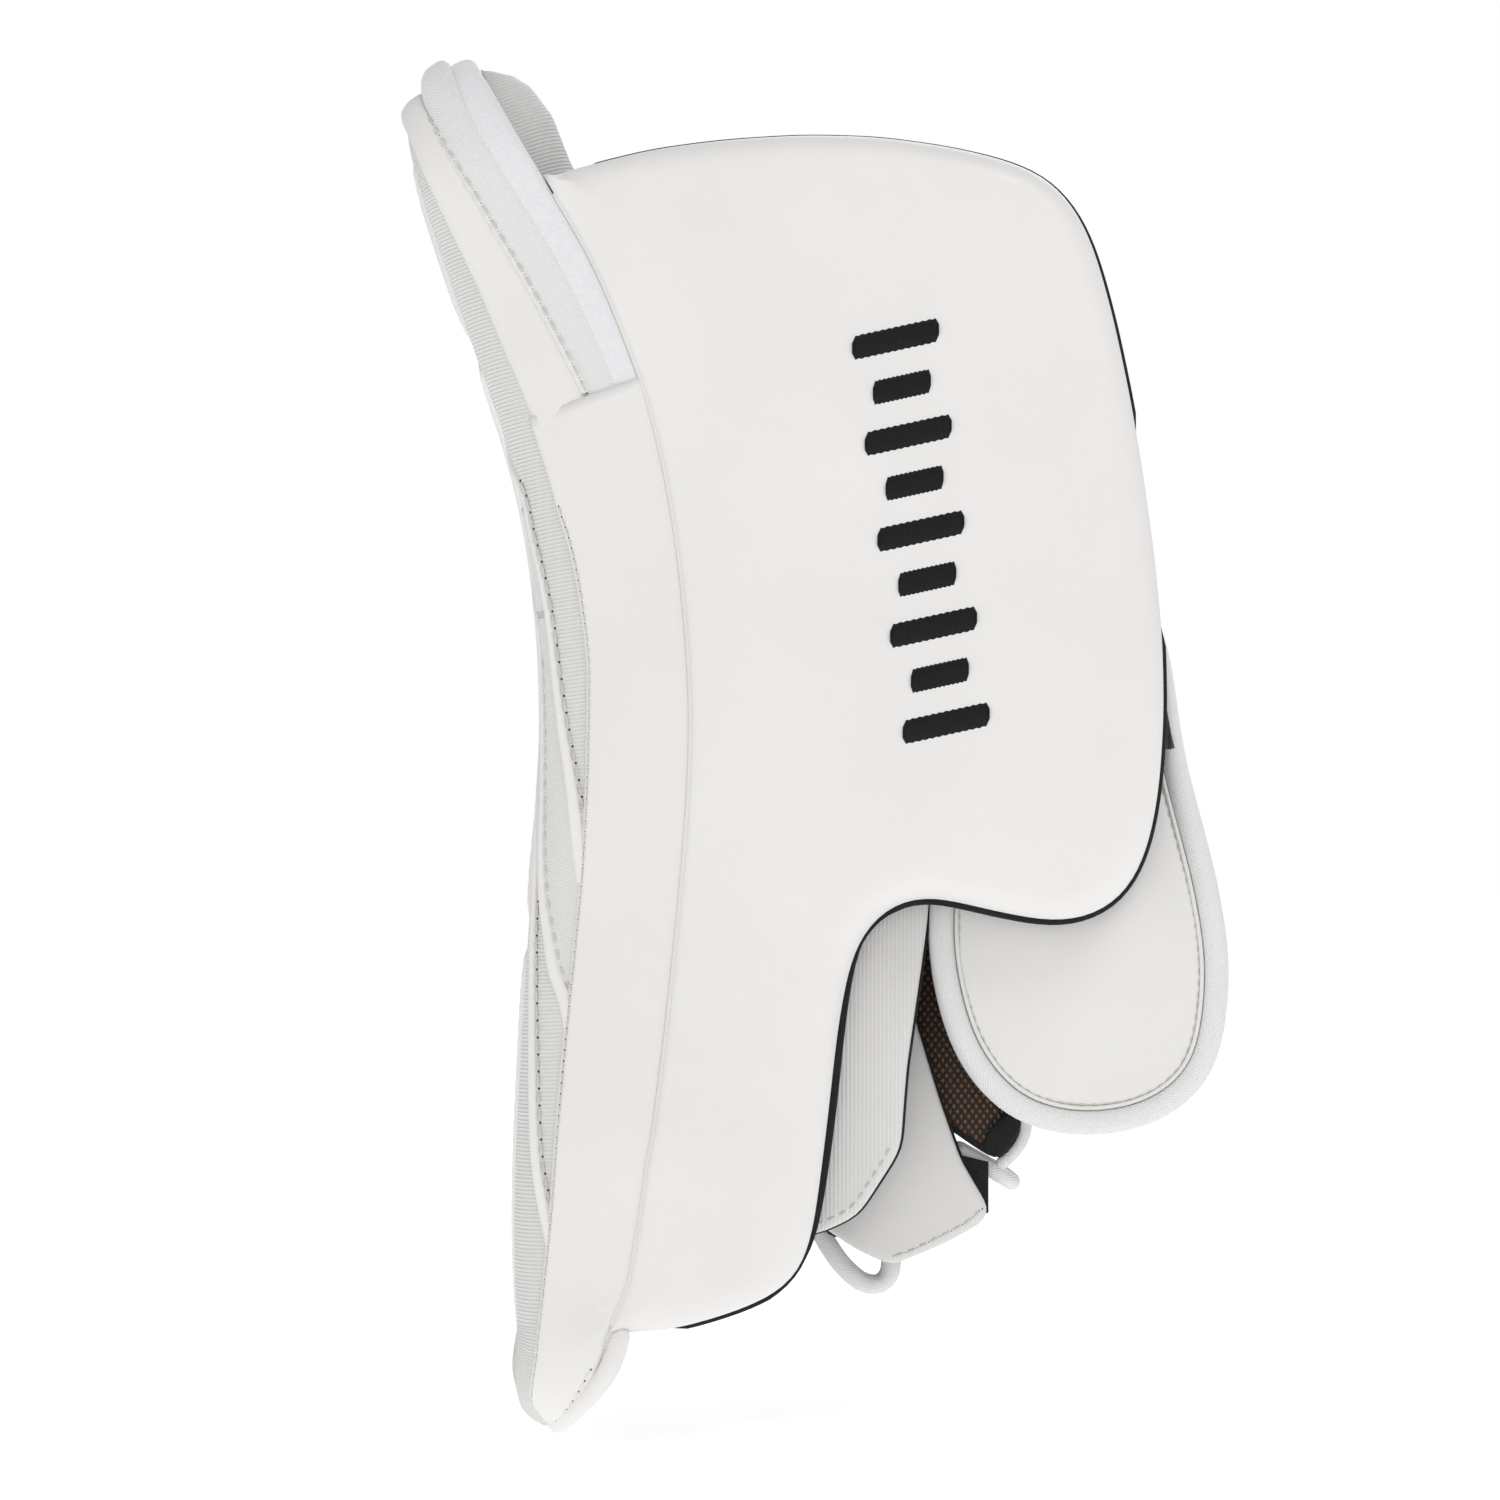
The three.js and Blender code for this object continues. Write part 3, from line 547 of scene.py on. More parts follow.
def plate_points(outline, spacing, rings):
    """Points that fill an outline: rings near its edge and an even grid further in."""
    points = []
    for depth in rings:
        loop = inset(outline, depth)
        far = distances(loop, outline)
        within = inside(loop, outline)
        points += [p for p, d, ok in zip(loop, far, within) if ok and d > depth * 0.93]
    low = Vector((min(p.x for p in outline), min(p.y for p in outline)))
    high = Vector((max(p.x for p in outline), max(p.y for p in outline)))
    rows = int((high.y - low.y) / (spacing * 0.87)) + 1
    columns = int((high.x - low.x) / spacing) + 1
    grid = [
        Vector((low.x + (c + 0.5 * (r % 2)) * spacing, low.y + r * spacing * 0.87))
        for r in range(rows)
        for c in range(columns + 1)
    ]
    reach = rings[-1] + spacing * 0.6
    far = distances(grid, outline)
    within = inside(grid, outline)
    return points + [p for p, d, ok in zip(grid, far, within) if ok and d > reach]


def flat_face(level):
    return lambda p, d: level


def near_face(level, radius):
    """A plate's near face, whose edge is rounded off."""
    return lambda p, d: level + rounding(d, radius)


def far_face(level, radius):
    return lambda p, d: level - rounding(d, radius)


def raised(p, level, axis):
    """A flat outline's point at a level along its axis: 0 is x, 1 is y."""
    return Vector((level, p.x, p.y)) if axis == 0 else Vector((p.x, level, p.y))


def plate(name, outline, near, far, material, spacing, rings, where, axis=1, sharp=None):
    """A closed plate with an outline square to an axis. near(p, d) and far(p, d) give its two faces at a
    point p that lies d mm from the outline."""
    flat = list(outline) + plate_points(outline, spacing, rings)
    count = len(outline)
    edges = [(i, (i + 1) % count) for i in range(count)]
    verts, _, triangles, *_ = delaunay_2d_cdt(flat, edges, [], 1, 1e-5)
    depth = distances(verts, outline)
    depth[:count] = 0.0

    size = len(verts)
    points = [raised(p, near(p, d), axis) for p, d in zip(verts, depth)]
    points += [raised(p, far(p, d), axis) for p, d in zip(verts, depth)]
    faces = [tuple(f) for f in triangles]
    faces += [tuple(size + i for i in f[::-1]) for f in triangles]
    faces += [(a, b, size + b, size + a) for a, b in edges]
    uvs = [tuple(verts[i % size]) for f in faces for i in f]
    return new_mesh(name, points, faces, material, where, uvs, sharp)


def rounding(d, radius):
    """How far a rounded edge falls away, d mm in from the edge."""
    if d >= radius:
        return 0.0
    return radius - math.sqrt(radius**2 - (radius - d) ** 2)


def normal_at(facing, point):
    """A cloth's outward direction; facing is the direction itself or a function of the point."""
    return Vector(facing(point) if callable(facing) else facing).normalized()


def stitches(name, path, facing, material, pitch, length, radius, rise=0.35, where=None):
    """Lockstitch threads along a path: each thread arches out of the cloth and back into it."""
    points = []
    faces = []
    sides = 5
    spans = [(b - a).length for a, b in zip(path, path[1:])]
    total = sum(spans)
    count = max(1, int(total / pitch))
    marks = resample(path, total / (count * 2))
    arch = [(-0.5, -0.9), (-0.42, 0.1), (0.0, 1.0), (0.42, 0.1), (0.5, -0.9)]
    for n in range(count):
        i = min(2 * n + 1, len(marks) - 2)
        along = (marks[i + 1] - marks[i - 1]).normalized()
        normal = normal_at(facing, marks[i])
        side = along.cross(normal).normalized()
        base = len(points)
        for share, up in arch:
            centre = marks[i] + along * share * length + normal * (up * rise)
            for k in range(sides):
                angle = 2 * math.pi * k / sides
                points.append(centre + (side * math.cos(angle) + normal * math.sin(angle)) * radius)
        for ring in range(len(arch) - 1):
            for k in range(sides):
                a = base + ring * sides + k
                b = base + ring * sides + (k + 1) % sides
                faces.append((a, b, b + sides, a + sides))
        faces.append(tuple(base + k for k in range(sides)))
        faces.append(tuple(base + (len(arch) - 1) * sides + k for k in range(sides)))
    return new_mesh(name, points, faces, material, where)


def needle_holes(name, path, facing, pitch, radius, depth=0.25, where=None):
    """Small dimples where the thread goes in, coloured dark as painted shade in the holes."""
    points = []
    faces = []
    sides = 6
    total = sum((b - a).length for a, b in zip(path, path[1:]))
    marks = resample(path, total / max(1, int(total / pitch)))
    for mark in marks:
        normal = normal_at(facing, mark)
        u = normal.orthogonal().normalized()
        v = normal.cross(u)
        base = len(points)
        points.append(mark + normal * depth)
        for k in range(sides):
            angle = 2 * math.pi * k / sides
            points.append(mark + (u * math.cos(angle) + v * math.sin(angle)) * radius - normal * depth)
        faces += [(base, base + 1 + k, base + 1 + (k + 1) % sides) for k in range(sides)]
        faces.append(tuple(base + sides - k for k in range(sides)))
    return new_mesh(name, points, faces, "hole", where)


# ---------------------------------------------------------------- materials
class Shader:
    """A Principled material and short calls for the nodes that feed it."""

    def __init__(self, name, color, roughness, metallic=0.0):
        self.material = bpy.data.materials.new(name)
        self.material.use_nodes = True
        self.tree = self.material.node_tree
        self.surface = self.tree.nodes["Principled BSDF"]
        self.color = color
        self.set("Roughness", roughness)
        self.set("Metallic", metallic)
        self.set("Base Color", (*color, 1))
        self.last_bump = None

    def set(self, socket, value):
        self.surface.inputs[socket].default_value = value

    def link(self, output, socket):
        self.tree.links.new(output, socket)

    def node(self, kind, **values):
        node = self.tree.nodes.new(kind)
        for key, value in values.items():
            setattr(node, key, value)
        return node

    def math(self, operation, a, b=0.0, c=0.0):
        node = self.node("ShaderNodeMath", operation=operation)
        for socket, value in zip(node.inputs, (a, b, c)):
            if isinstance(value, (int, float)):
                socket.default_value = value
            else:
                self.link(value, socket)
        return node.outputs[0]

    def place(self):
        return self.node("ShaderNodeTexCoord").outputs["Object"]

    def weave(self):
        """The two weave coordinates, in mm."""
        uv = self.node("ShaderNodeUVMap", uv_map="weave")
        split = self.node("ShaderNodeSeparateXYZ")
        self.link(uv.outputs[0], split.inputs[0])
        return split.outputs[0], split.outputs[1]

    def noise(self, size_mm, detail):
        """Noise from 0 to 1 with marks about size_mm across."""
        node = self.node("ShaderNodeTexNoise")
        node.inputs["Scale"].default_value = 1 / (size_mm * MM)
        node.inputs["Detail"].default_value = detail
        self.link(self.place(), node.inputs["Vector"])
        return node.outputs["Fac"]

    def cells(self, size_mm):
        node = self.node("ShaderNodeTexVoronoi")
        node.inputs["Scale"].default_value = 1 / (size_mm * MM)
        self.link(self.place(), node.inputs["Vector"])
        return node.outputs["Distance"]

    def ramp(self, value, low, high, out_low=0.0, out_high=1.0):
        node = self.node("ShaderNodeMapRange")
        self.link(value, node.inputs["Value"])
        ends = {"From Min": low, "From Max": high, "To Min": out_low, "To Max": out_high}
        for name, number in ends.items():
            node.inputs[name].default_value = number
        return node.outputs[0]

    def wave(self, coordinate, pitch):
        """A smooth 0 to 1 wave with that pitch."""
        turned = self.math("MULTIPLY", coordinate, 2 * math.pi / pitch)
        return self.math("MULTIPLY_ADD", self.math("SINE", turned), 0.5, 0.5)

    def shade(self, factor, other):
        """Base colour goes from other, at 0, to the material's own colour, at 1."""
        mix = self.node("ShaderNodeMix", data_type="RGBA")
        self.link(factor, mix.inputs["Factor"])
        mix.inputs[6].default_value = (*other, 1)
        mix.inputs[7].default_value = (*self.color, 1)
        self.link(mix.outputs[2], self.surface.inputs["Base Color"])

    def bump(self, height, distance_mm):
        """Adds a relief on top of those already there."""
        node = self.node("ShaderNodeBump")
        node.inputs["Strength"].default_value = 1.0
        node.inputs["Distance"].default_value = distance_mm * MM
        self.link(height, node.inputs["Height"])
        if self.last_bump:
            self.link(self.last_bump, node.inputs["Normal"])
        self.last_bump = node.outputs[0]
        self.link(self.last_bump, self.surface.inputs["Normal"])

    def rough(self, value, low, high):
        self.link(self.ramp(value, 0.3, 0.7, low, high), self.surface.inputs["Roughness"])


def darker(color, share):
    return tuple(channel * share for channel in color)


WHITE = (0.815, 0.803, 0.788)
COOL_WHITE = (0.83, 0.828, 0.855)
CREAM = (0.80, 0.79, 0.75)
BLACK = (0.012, 0.012, 0.013)


def leather(name, color, grain=0.035, rough=(0.36, 0.5)):
    """Smooth coated leather: a fine pebble, faint clouding and a soft sheen of its top coat."""
    shader = Shader(name, color, 0.45)
    shader.set("Specular IOR Level", 0.42)
    shader.shade(shader.ramp(shader.noise(38, 2), 0.25, 0.75), darker(color, 0.965))
    shader.rough(shader.noise(9, 4), *rough)
    shader.bump(shader.cells(0.9), grain)
    shader.bump(shader.noise(22, 3), 0.25)
    return shader.material


def ribbed(name, color, pitch=1.1, depth=0.22, dark=0.9):
    """Nylon with fine ribs square to its length, its colour darker in the grooves between the ribs as painted
    shade.
    """
    shader = Shader(name, color, 0.62)
    shader.set("Sheen Weight", 0.15)
    along, over = shader.weave()
    ribs = shader.wave(along, pitch)
    threads = shader.wave(over, 0.5)
    height = shader.math("MULTIPLY_ADD", threads, 0.04, ribs)
    # Painted shade: the colour darkens where the ribs' bump is low, in the grooves.
    shader.shade(shader.ramp(ribs, 0.0, 0.75), darker(color, dark))
    shader.rough(shader.noise(6, 3), 0.55, 0.7)
    shader.bump(height, depth)
    return shader.material


def satin(name, color):
    """Glossy embroidery thread laid side by side."""
    shader = Shader(name, color, 0.5)
    shader.set("Specular IOR Level", 0.22)
    along, _ = shader.weave()
    threads = shader.wave(along, 0.42)
    shader.shade(threads, darker(color, 0.45))
    shader.bump(threads, 0.12)
    return shader.material


def twill(name, color, pitch=0.95, dark=0.86, slant=1.0):
    """A binding tape with a diagonal weave."""
    shader = Shader(name, color, 0.7)
    shader.set("Sheen Weight", 0.2)
    along, over = shader.weave()
    slanted = shader.math("MULTIPLY_ADD", over, slant, along)
    lines = shader.wave(slanted, pitch)
    cross = shader.wave(shader.math("MULTIPLY_ADD", over, -slant, along), pitch * 0.62)
    height = shader.math("MULTIPLY_ADD", cross, 0.45, lines)
    shader.shade(shader.ramp(height, 0.1, 1.1), darker(color, dark))
    shader.bump(height, 0.1)
    shader.bump(shader.noise(10, 3), 0.18)
    return shader.material


def columns(name, color):
    """Knitted cloth whose columns run up it, on weave coordinates x and z."""
    shader = Shader(name, color, 0.68)
    shader.set("Sheen Weight", 0.2)
    along, over = shader.weave()
    ribs = shader.wave(along, 1.15)
    loops = shader.wave(shader.math("MULTIPLY_ADD", ribs, 0.5, over), 0.8)
    height = shader.math("MULTIPLY_ADD", loops, 0.5, ribs)
    shader.shade(shader.ramp(height, 0.1, 1.2), darker(color, 0.9))
    shader.bump(height, 0.1)
    return shader.material


def fleece(name, color):
    """Brushed soft cloth."""
    shader = Shader(name, color, 0.95)
    shader.set("Sheen Weight", 0.5)
    shader.set("Sheen Roughness", 0.6)
    fuzz = shader.noise(0.7, 5)
    shader.shade(shader.ramp(fuzz, 0.3, 0.65), darker(color, 0.93))
    shader.bump(fuzz, 0.35)
    shader.bump(shader.noise(7, 3), 0.5)
    return shader.material


def suede(name, color, size=0.6):
    """Brushed synthetic palm cloth, and black nylon backing."""
    shader = Shader(name, color, 0.85)
    shader.set("Sheen Weight", 0.06)
    shader.set("Specular IOR Level", 0.2)
    nap = shader.noise(size, 4)
    shader.shade(shader.ramp(nap, 0.3, 0.7), tuple(channel * 1.7 for channel in color))
    shader.rough(shader.noise(12, 3), 0.75, 0.92)
    shader.bump(nap, 0.12)
    shader.bump(shader.noise(9, 2), 0.5)
    return shader.material


def hardware(name, color, roughness, metallic=0.0):
    """Moulded or turned parts: slightly uneven roughness and fine marks."""
    shader = Shader(name, color, roughness, metallic)
    shader.shade(shader.ramp(shader.noise(5, 4), 0.3, 0.7), darker(color, 0.9))
    shader.rough(shader.noise(2.5, 5), roughness * 0.8, roughness * 1.2)
    shader.bump(shader.noise(0.5, 2), 0.02)
    return shader.material


def open_mesh(name):
    """Black netting with brown diamonds in its openings."""
    shader = Shader(name, (0.2, 0.085, 0.035), 0.75)
    along, over = shader.weave()
    a = shader.wave(shader.math("MULTIPLY_ADD", over, 0.72, along), 2.1)
    b = shader.wave(shader.math("MULTIPLY_ADD", over, -0.72, along), 2.1)
    holes = shader.math("MULTIPLY", a, b)
    shader.shade(shader.ramp(holes, 0.24, 0.36), BLACK)
    shader.bump(shader.math("SUBTRACT", 1.0, holes), 0.5)
    return shader.material


def thread(name, color, roughness=0.6):
    shader = Shader(name, color, roughness)
    twist = shader.wave(shader.math("MULTIPLY", shader.noise(0.6, 1), 3.0), 0.5)
    shader.shade(twist, darker(color, 0.85))
    shader.bump(twist, 0.05)
    return shader.material


MATERIALS = {
    "leather": leather("leather", WHITE),
    "panel": leather("panel_leather", (0.825, 0.813, 0.80), grain=0.03, rough=(0.34, 0.46)),
    "ribbed": ribbed("ribbed_nylon", (0.755, 0.75, 0.735)),
    "twill": twill("twill_binding", (0.86, 0.858, 0.86)),
    "twill_cloth": twill("twill_cloth", (0.78, 0.775, 0.765), pitch=0.8, slant=0.5, dark=0.88),
    "columns": columns("knit_columns", (0.75, 0.742, 0.73)),
    # The guard material is the board's white leather made darker: painted shade for the thumb pad, which lies
    # back behind the side board.
    "guard": leather("guard_leather_painted_shade", (0.79, 0.78, 0.765), grain=0.03, rough=(0.34, 0.46)),
    # The sleeve material is the same white leather made darker still: painted shade for the index finger's
    # sleeve.
    "sleeve": leather("sleeve_leather_painted_shade", (0.715, 0.705, 0.69)),
    "fleece": fleece("fleece", COOL_WHITE),
    # Cream for the thumb's piping, and painted shade in the groove of the side board's seam.
    "cream": leather("cream_piping_and_seam_shade", CREAM, grain=0.05, rough=(0.5, 0.65)),
    "thread": thread("thread", (0.74, 0.725, 0.66)),
    "hole": thread("needle_shade", (0.10, 0.095, 0.08), 0.9),
    "black": suede("black_nylon", BLACK, 0.45),
    "palm": suede("palm_cloth", (0.028, 0.028, 0.03)),
    "mesh": open_mesh("mesh"),
    "foam": suede("foam", (0.42, 0.44, 0.46), 0.9),
    "plastic": hardware("stiffener", (0.6, 0.6, 0.58), 0.5),
    "steel": hardware("steel", (0.5, 0.51, 0.52), 0.32, 1.0),
    "webbing": ribbed("webbing", (0.02, 0.02, 0.021), pitch=1.4, depth=0.25, dark=0.5),
    "rubber": hardware("rubber", (0.015, 0.015, 0.015), 0.55),
    "ink": satin("embroidery", (0.011, 0.011, 0.012)),
    "loop": suede("loop_pile_cloth", (0.016, 0.016, 0.017), 1.1),
    "hook": suede("hook_cloth", (0.02, 0.02, 0.02), 1.6),
    "thread_dark": thread("dark_thread", (0.045, 0.045, 0.047)),
}


# ---------------------------------------------------------------- board
TIP_PUFF = 4.4  # how far the border stands out round the front of the finger end
TIP_PUFF_LENGTH = 32.0
FACE_LIMIT = -18.0  # how far the ribbed border reaches in on the strike face
WALL_POINT = 12  # the border's point on the rim's wall, where its ribs are measured


def rim_places(start, end, spacing=4.5):
    """Evenly spaced places along the rim."""
    count = max(2, round((end - start) / spacing))
    return [start + (end - start) * i / count for i in range(count + 1)]


def height_at(t):
    return rim(t)[1]


def share_q(t, share):
    """The q of a share of the board's thickness."""
    height = height_at(t)
    return across(height, share * thickness(height))


def add_border():
    """Ribbed nylon from the strike face over the rounding and down the rim."""
    sections = []
    for t in rim_places(0, RIM_LENGTH, 4.2)[:-1]:
        end = share_q(t, 0.9)
        qs = [FACE_LIMIT, FACE_LIMIT / 2] + [end * k / 16 for k in range(17)]
        puff = TIP_PUFF * clamp((HEIGHT_LOW + TIP_PUFF_LENGTH - height_at(t)) / TIP_PUFF_LENGTH) ** 1.8
        outer = [skin_point(t, q, puff * (1 - clamp(q / 6)) if k else -0.6) for k, q in enumerate(qs)]
        inner = [skin_point(t, q, -1.2) for q in qs[::-1]]
        sections.append(outer + inner)
    sweep(
        "board_border", sections, "ribbed", closed=True, gauge=WALL_POINT,
        where=("board", "nylon", "side_band"),
    )


def add_front_foam():
    """The dense foam under the strike face, with the cover's rounding."""
    rows = 40
    sunk = -2.0
    sections = []
    for i in range(rows + 1):
        height = lerp(HEIGHT_LOW + CORNER, HEIGHT_HIGH - CORNER, i / rows)
        t = rim_place(height)
        rounding_end = edge_radius(height) * math.pi / 2
        front = [skin_point(t, q, sunk) for q in np.linspace(0, rounding_end, 7)]
        far = [skin_point(mirrored(t), q, sunk) for q in np.linspace(rounding_end, 0, 7)]
        sections.append(front[::-1] + far[::-1])
    sweep("front_foam", sections, "foam", where=("board", "foam", "face_foam"))


def board_sheet(name, heights, columns, ends, material, where):
    """A sheet along the board; ends(height) gives its two sides and the depths of its two faces."""
    sections = []
    for height in heights:
        y0, y1, outer, inner = ends(height)
        sides = [lerp(y0, y1, j / columns) for j in range(columns + 1)]
        top = [board_point(y, height, outer) for y in sides]
        sections.append(top + [board_point(y, height, inner) for y in sides[::-1]])
    return sweep(name, sections, material, where)


def add_face():
    """Leather of the strike face, between its rounded edges."""
    margin = 20
    rows = 60
    heights = [lerp(HEIGHT_LOW + margin, HEIGHT_HIGH - margin, i / rows) for i in range(rows + 1)]
    ends = (SIDE_LOW + margin, SIDE_HIGH - margin, 0.35, 1.4)
    board_sheet("face_cover", heights, 12, lambda height: ends, "leather", ("board", "leather", "face_skin"))


def face_place(across_from_middle):
    """The y of a distance from the strike face's centre line."""
    return (SIDE_LOW + SIDE_HIGH) / 2 + across_from_middle


def overlay(name, node, low, high, half_width):
    """A padded leather panel on the strike face, with its edges turned under and a stitched margin."""
    crown_height = 2.2
    turned_edge = 5.0
    margin = 6.5
    rows = max(12, round((high - low) / 5))
    columns = 30
    sections = []
    for i in range(rows + 1):
        v = i / rows
        height = lerp(low, high, v)
        half = half_width(v)
        top = []
        for j in range(columns + 1):
            w = 2 * j / columns - 1
            w = math.copysign(1 - (1 - abs(w)) ** 1.35, w)
            bow = 2.5 * (1 - w * w) * math.sin(math.pi * (v - 0.5))
            to_edge = min(half * (1 - abs(w)), height - low, high - height)
            lift = crown_height * (1 - (1 - clamp(to_edge / turned_edge)) ** 2) ** 0.5 * 0.62
            lift += crown_height * 0.38 * clamp((to_edge - 7) / 9) ** 0.6
            top.append(board_point(face_place(half * w), height + bow, -lift - 0.05))
        sections.append(top + [board_point(face_place(side), height, 1.0) for side in (half, -half)])
    sweep(name, sections, "panel", where=("board", "leather", node))
    for label, sign in (("a", -1), ("b", 1)):
        route = []
        for i in range(31):
            height = lerp(low + margin, high - margin, i / 30)
            half = half_width((height - low) / (high - low)) - margin
            route.append(board_point(face_place(sign * half), height, -crown_height * 0.55))
        stitches(
            f"{name}_stitch_{label}", route, (-1, 0, 0.2), "thread", 4.6, 3.2, 0.26, 0.2,
            where=("board", "leather"),
        )


def add_overlays():
    overlay("overlay_top", "face_overlay_top", 119, 171, lambda v: 84 - 8 * v)
    overlay("overlay_middle", "face_overlay_middle", -47, 112, lambda v: 84 - 12 * math.sin(math.pi * v))
    overlay("overlay_bottom", "face_overlay_bottom", -171, -54, lambda v: 72 + 10 * math.sin(math.pi / 2 * v))


def add_back():
    """Nylon back of the board, turned over its edge under the fleece."""
    def ends(height):
        near_end = min(height - HEIGHT_LOW, HEIGHT_HIGH - height)
        corner = 0
        if near_end < CORNER:
            corner = CORNER - math.sqrt(max(0.0, CORNER**2 - (CORNER - near_end) ** 2))
        full = thickness(height)
        return SIDE_LOW + 3 + corner, SIDE_HIGH - 3 - corner, full, full - 1.2

    rows = 64
    heights = [lerp(HEIGHT_LOW + 4, HEIGHT_HIGH - 3, i / rows) for i in range(rows + 1)]
    board_sheet("board_back", heights, 14, ends, "ribbed", ("board", "nylon", "back_skin"))


# Where each band on the rim starts, as a share of the board's thickness, by height.
RIM_BANDS = {
    "crease": [(60, 0.30), (90, 0.23), (110, 0.20), (133, 0.17), (155, 0.11), (168, 0.06), (180, 0.02)],
    "trim": [(60, 0.66), (90, 0.60), (110, 0.54), (133, 0.46), (155, 0.38), (168, 0.31), (180, 0.22)],
    "binding": [(60, 0.73), (90, 0.67), (110, 0.61), (133, 0.53), (155, 0.45), (168, 0.37), (180, 0.28)],
    "fleece": [(60, 0.88), (90, 0.86), (110, 0.84), (133, 0.81), (155, 0.76), (168, 0.72), (180, 0.70)],
    "back": [(60, 1.0), (180, 1.0)],
}


def rim_edges(first, second, before=0.0, after=0.0):
    """The two edges of a band, each moved out to go under its neighbour."""
    def edges(t):
        q0, q1 = (share_q(t, table_value(RIM_BANDS[name], height_at(t))) for name in (first, second))
        return q0 - before, q1 + after
    return edges


FINGER_END = 2 * STRAIGHT_SIDE + STRAIGHT_END + 2 * ARC  # the t where the far side turns to the finger end
TUCK = 22.0  # length over which a band thins before it goes under another piece


def swell(start, low, high):
    """A band's rise: thin where it starts under the wrap, and high across the wrist end."""
    def height(t):
        middle = STRAIGHT_SIDE + ARC + STRAIGHT_END / 2
        inside_end = (STRAIGHT_END / 2 + 0.72 * ARC - abs(t - middle)) / (0.6 * ARC)
        share = clamp(inside_end)
        full = lerp(low, high, share * share * (3 - 2 * share))
        return full * lerp(0.45, 1, clamp((t - start) / TUCK)) * lerp(0.45, 1, clamp((FINGER_END - t) / TUCK))
    return height


def add_rim_bands():
    """Leather strip, scalloped trim, woven binding and fleece round the rim, clear of the wrap."""
    band(
        "rim_leather", rim_places(rim_place(68), FINGER_END + 6), rim_edges("crease", "trim", after=1.4),
        "leather", height=swell(rim_place(68), 1.1, 2.6), power=8, where=("board", "leather"),
    )
    start = under_wrap(-24)
    band(
        "binding_roll", rim_places(start, FINGER_END + 4, 3.6), rim_edges("binding", "fleece", before=1.2),
        "twill", height=swell(start, 2.1, 7.2), power=3.4, where=("board", "nylon", "edge_binding"),
    )
    start = under_wrap(-17)
    band(
        "fleece_roll", rim_places(start, FINGER_END + 4, 3.6),
        rim_edges("fleece", "back", before=4.0, after=-0.2),
        "fleece", height=swell(start, 1.7, 4.6), power=3, where=("board", "fleece", "back_edge_fleece"),
    )
    add_scalloped_trim(rim_places(under_wrap(-30) + 4, FINGER_END + 4, 1.15))
    add_tip()


def add_tip():
    """Leather over the finger end, and the roll along its back edge."""
    band(
        "tip_leather", rim_places(FINGER_END, RIM_LENGTH - ARC + 3, 3.6), rim_edges("crease", "back"),
        "leather", height=lambda t: 1.5, power=10, where=("board", "leather"),
    )
    path = []
    for t in rim_places(FINGER_END + 2, RIM_LENGTH - 2, 2.0):
        past_end = min(t - FINGER_END, RIM_LENGTH - t)
        share = lerp(0.94, 1.02, clamp(past_end / 20))
        path.append(skin_point(t, share_q(t, share), lerp(-3.4, 0.5, clamp(past_end / 11) ** 0.6)))
    tube("tip_roll", path, 3.0, "leather", sides=16, where=("board", "leather"))


def add_scalloped_trim(places):
    """Tape between the leather and the binding: its front edge is drawn into scallops by the thread."""
    pitch = 4.6
    rise = 1.25
    where = ("board", "nylon")
    sections = []
    route = []
    for t in places:
        height = height_at(t)
        q0 = share_q(t, table_value(RIM_BANDS["trim"], height)) - 0.5
        binding = share_q(t, table_value(RIM_BANDS["binding"], height))
        q1 = binding + 0.6
        q0 += 0.55 * abs(math.sin(math.pi * t / pitch))
        top = [skin_point(t, lerp(q0, q1, j / 4), rise * crown(j / 4, 5) ** 0.7) for j in range(5)]
        sections.append(top + [skin_point(t, q1, -0.5), skin_point(t, q0, -0.5)])
        route.append(skin_point(t, binding - 0.9, rise))
    sweep("scalloped_trim", sections, "leather", where)
    stitches("trim_stitch", route, rim_normal, "thread", pitch, 3.3, 0.34, where=where)
    needle_holes("trim_needle_marks", route, rim_normal, pitch, 0.34, where=where)


def rim_normal(point):
    """Outward direction on the rim, from the nearest side or end."""
    y = point.y
    if y < SIDE_LOW + CORNER * 0.6:
        return Vector((0, -1, 0))
    if y > SIDE_HIGH - CORNER * 0.6:
        return Vector((0, 1, 0))
    return Vector((0, 0, 1 if point.z > 0 else -1))


# ---------------------------------------------------------------- crescent trims on the thumb side
# Each trim by height and depth behind the strike face, from the face round to the wrap strip.
CRESCENTS = {
    "upper": [(88, -8), (73, 0.9), (58, 1.7), (43, 3.0), (33, 3.7), (21, 4.3), (5.5, 5.9), (-11, 9),
              (-30, 12.9), (-38, 15)],
    "lower": [(52, -8), (36, 0.3), (14, 0.7), (-11, 1.2), (-38, 3.1), (-52, 5.7), (-62, 8.1),
              (-71.5, 12.2), (-83, 15)],
    "tip": [(10, -8), (-24, 0.6), (-56, 1.9), (-87, 3.7), (-108, 5.2), (-120, 6.8), (-137, 10.6), (-146, 13)],
}


def crescent_route(name):
    route = []
    for z, depth in CRESCENTS[name]:
        t, q = side_place(FRONT(z) + max(depth, 0), z)
        route.append(Vector((t, depth if depth < 0 else q, 0)))
    return route


def mirrored(t):
    """The place on the far side that faces a place on the thumb side."""
    return 2 * STRAIGHT_SIDE + STRAIGHT_END + 2 * ARC - t


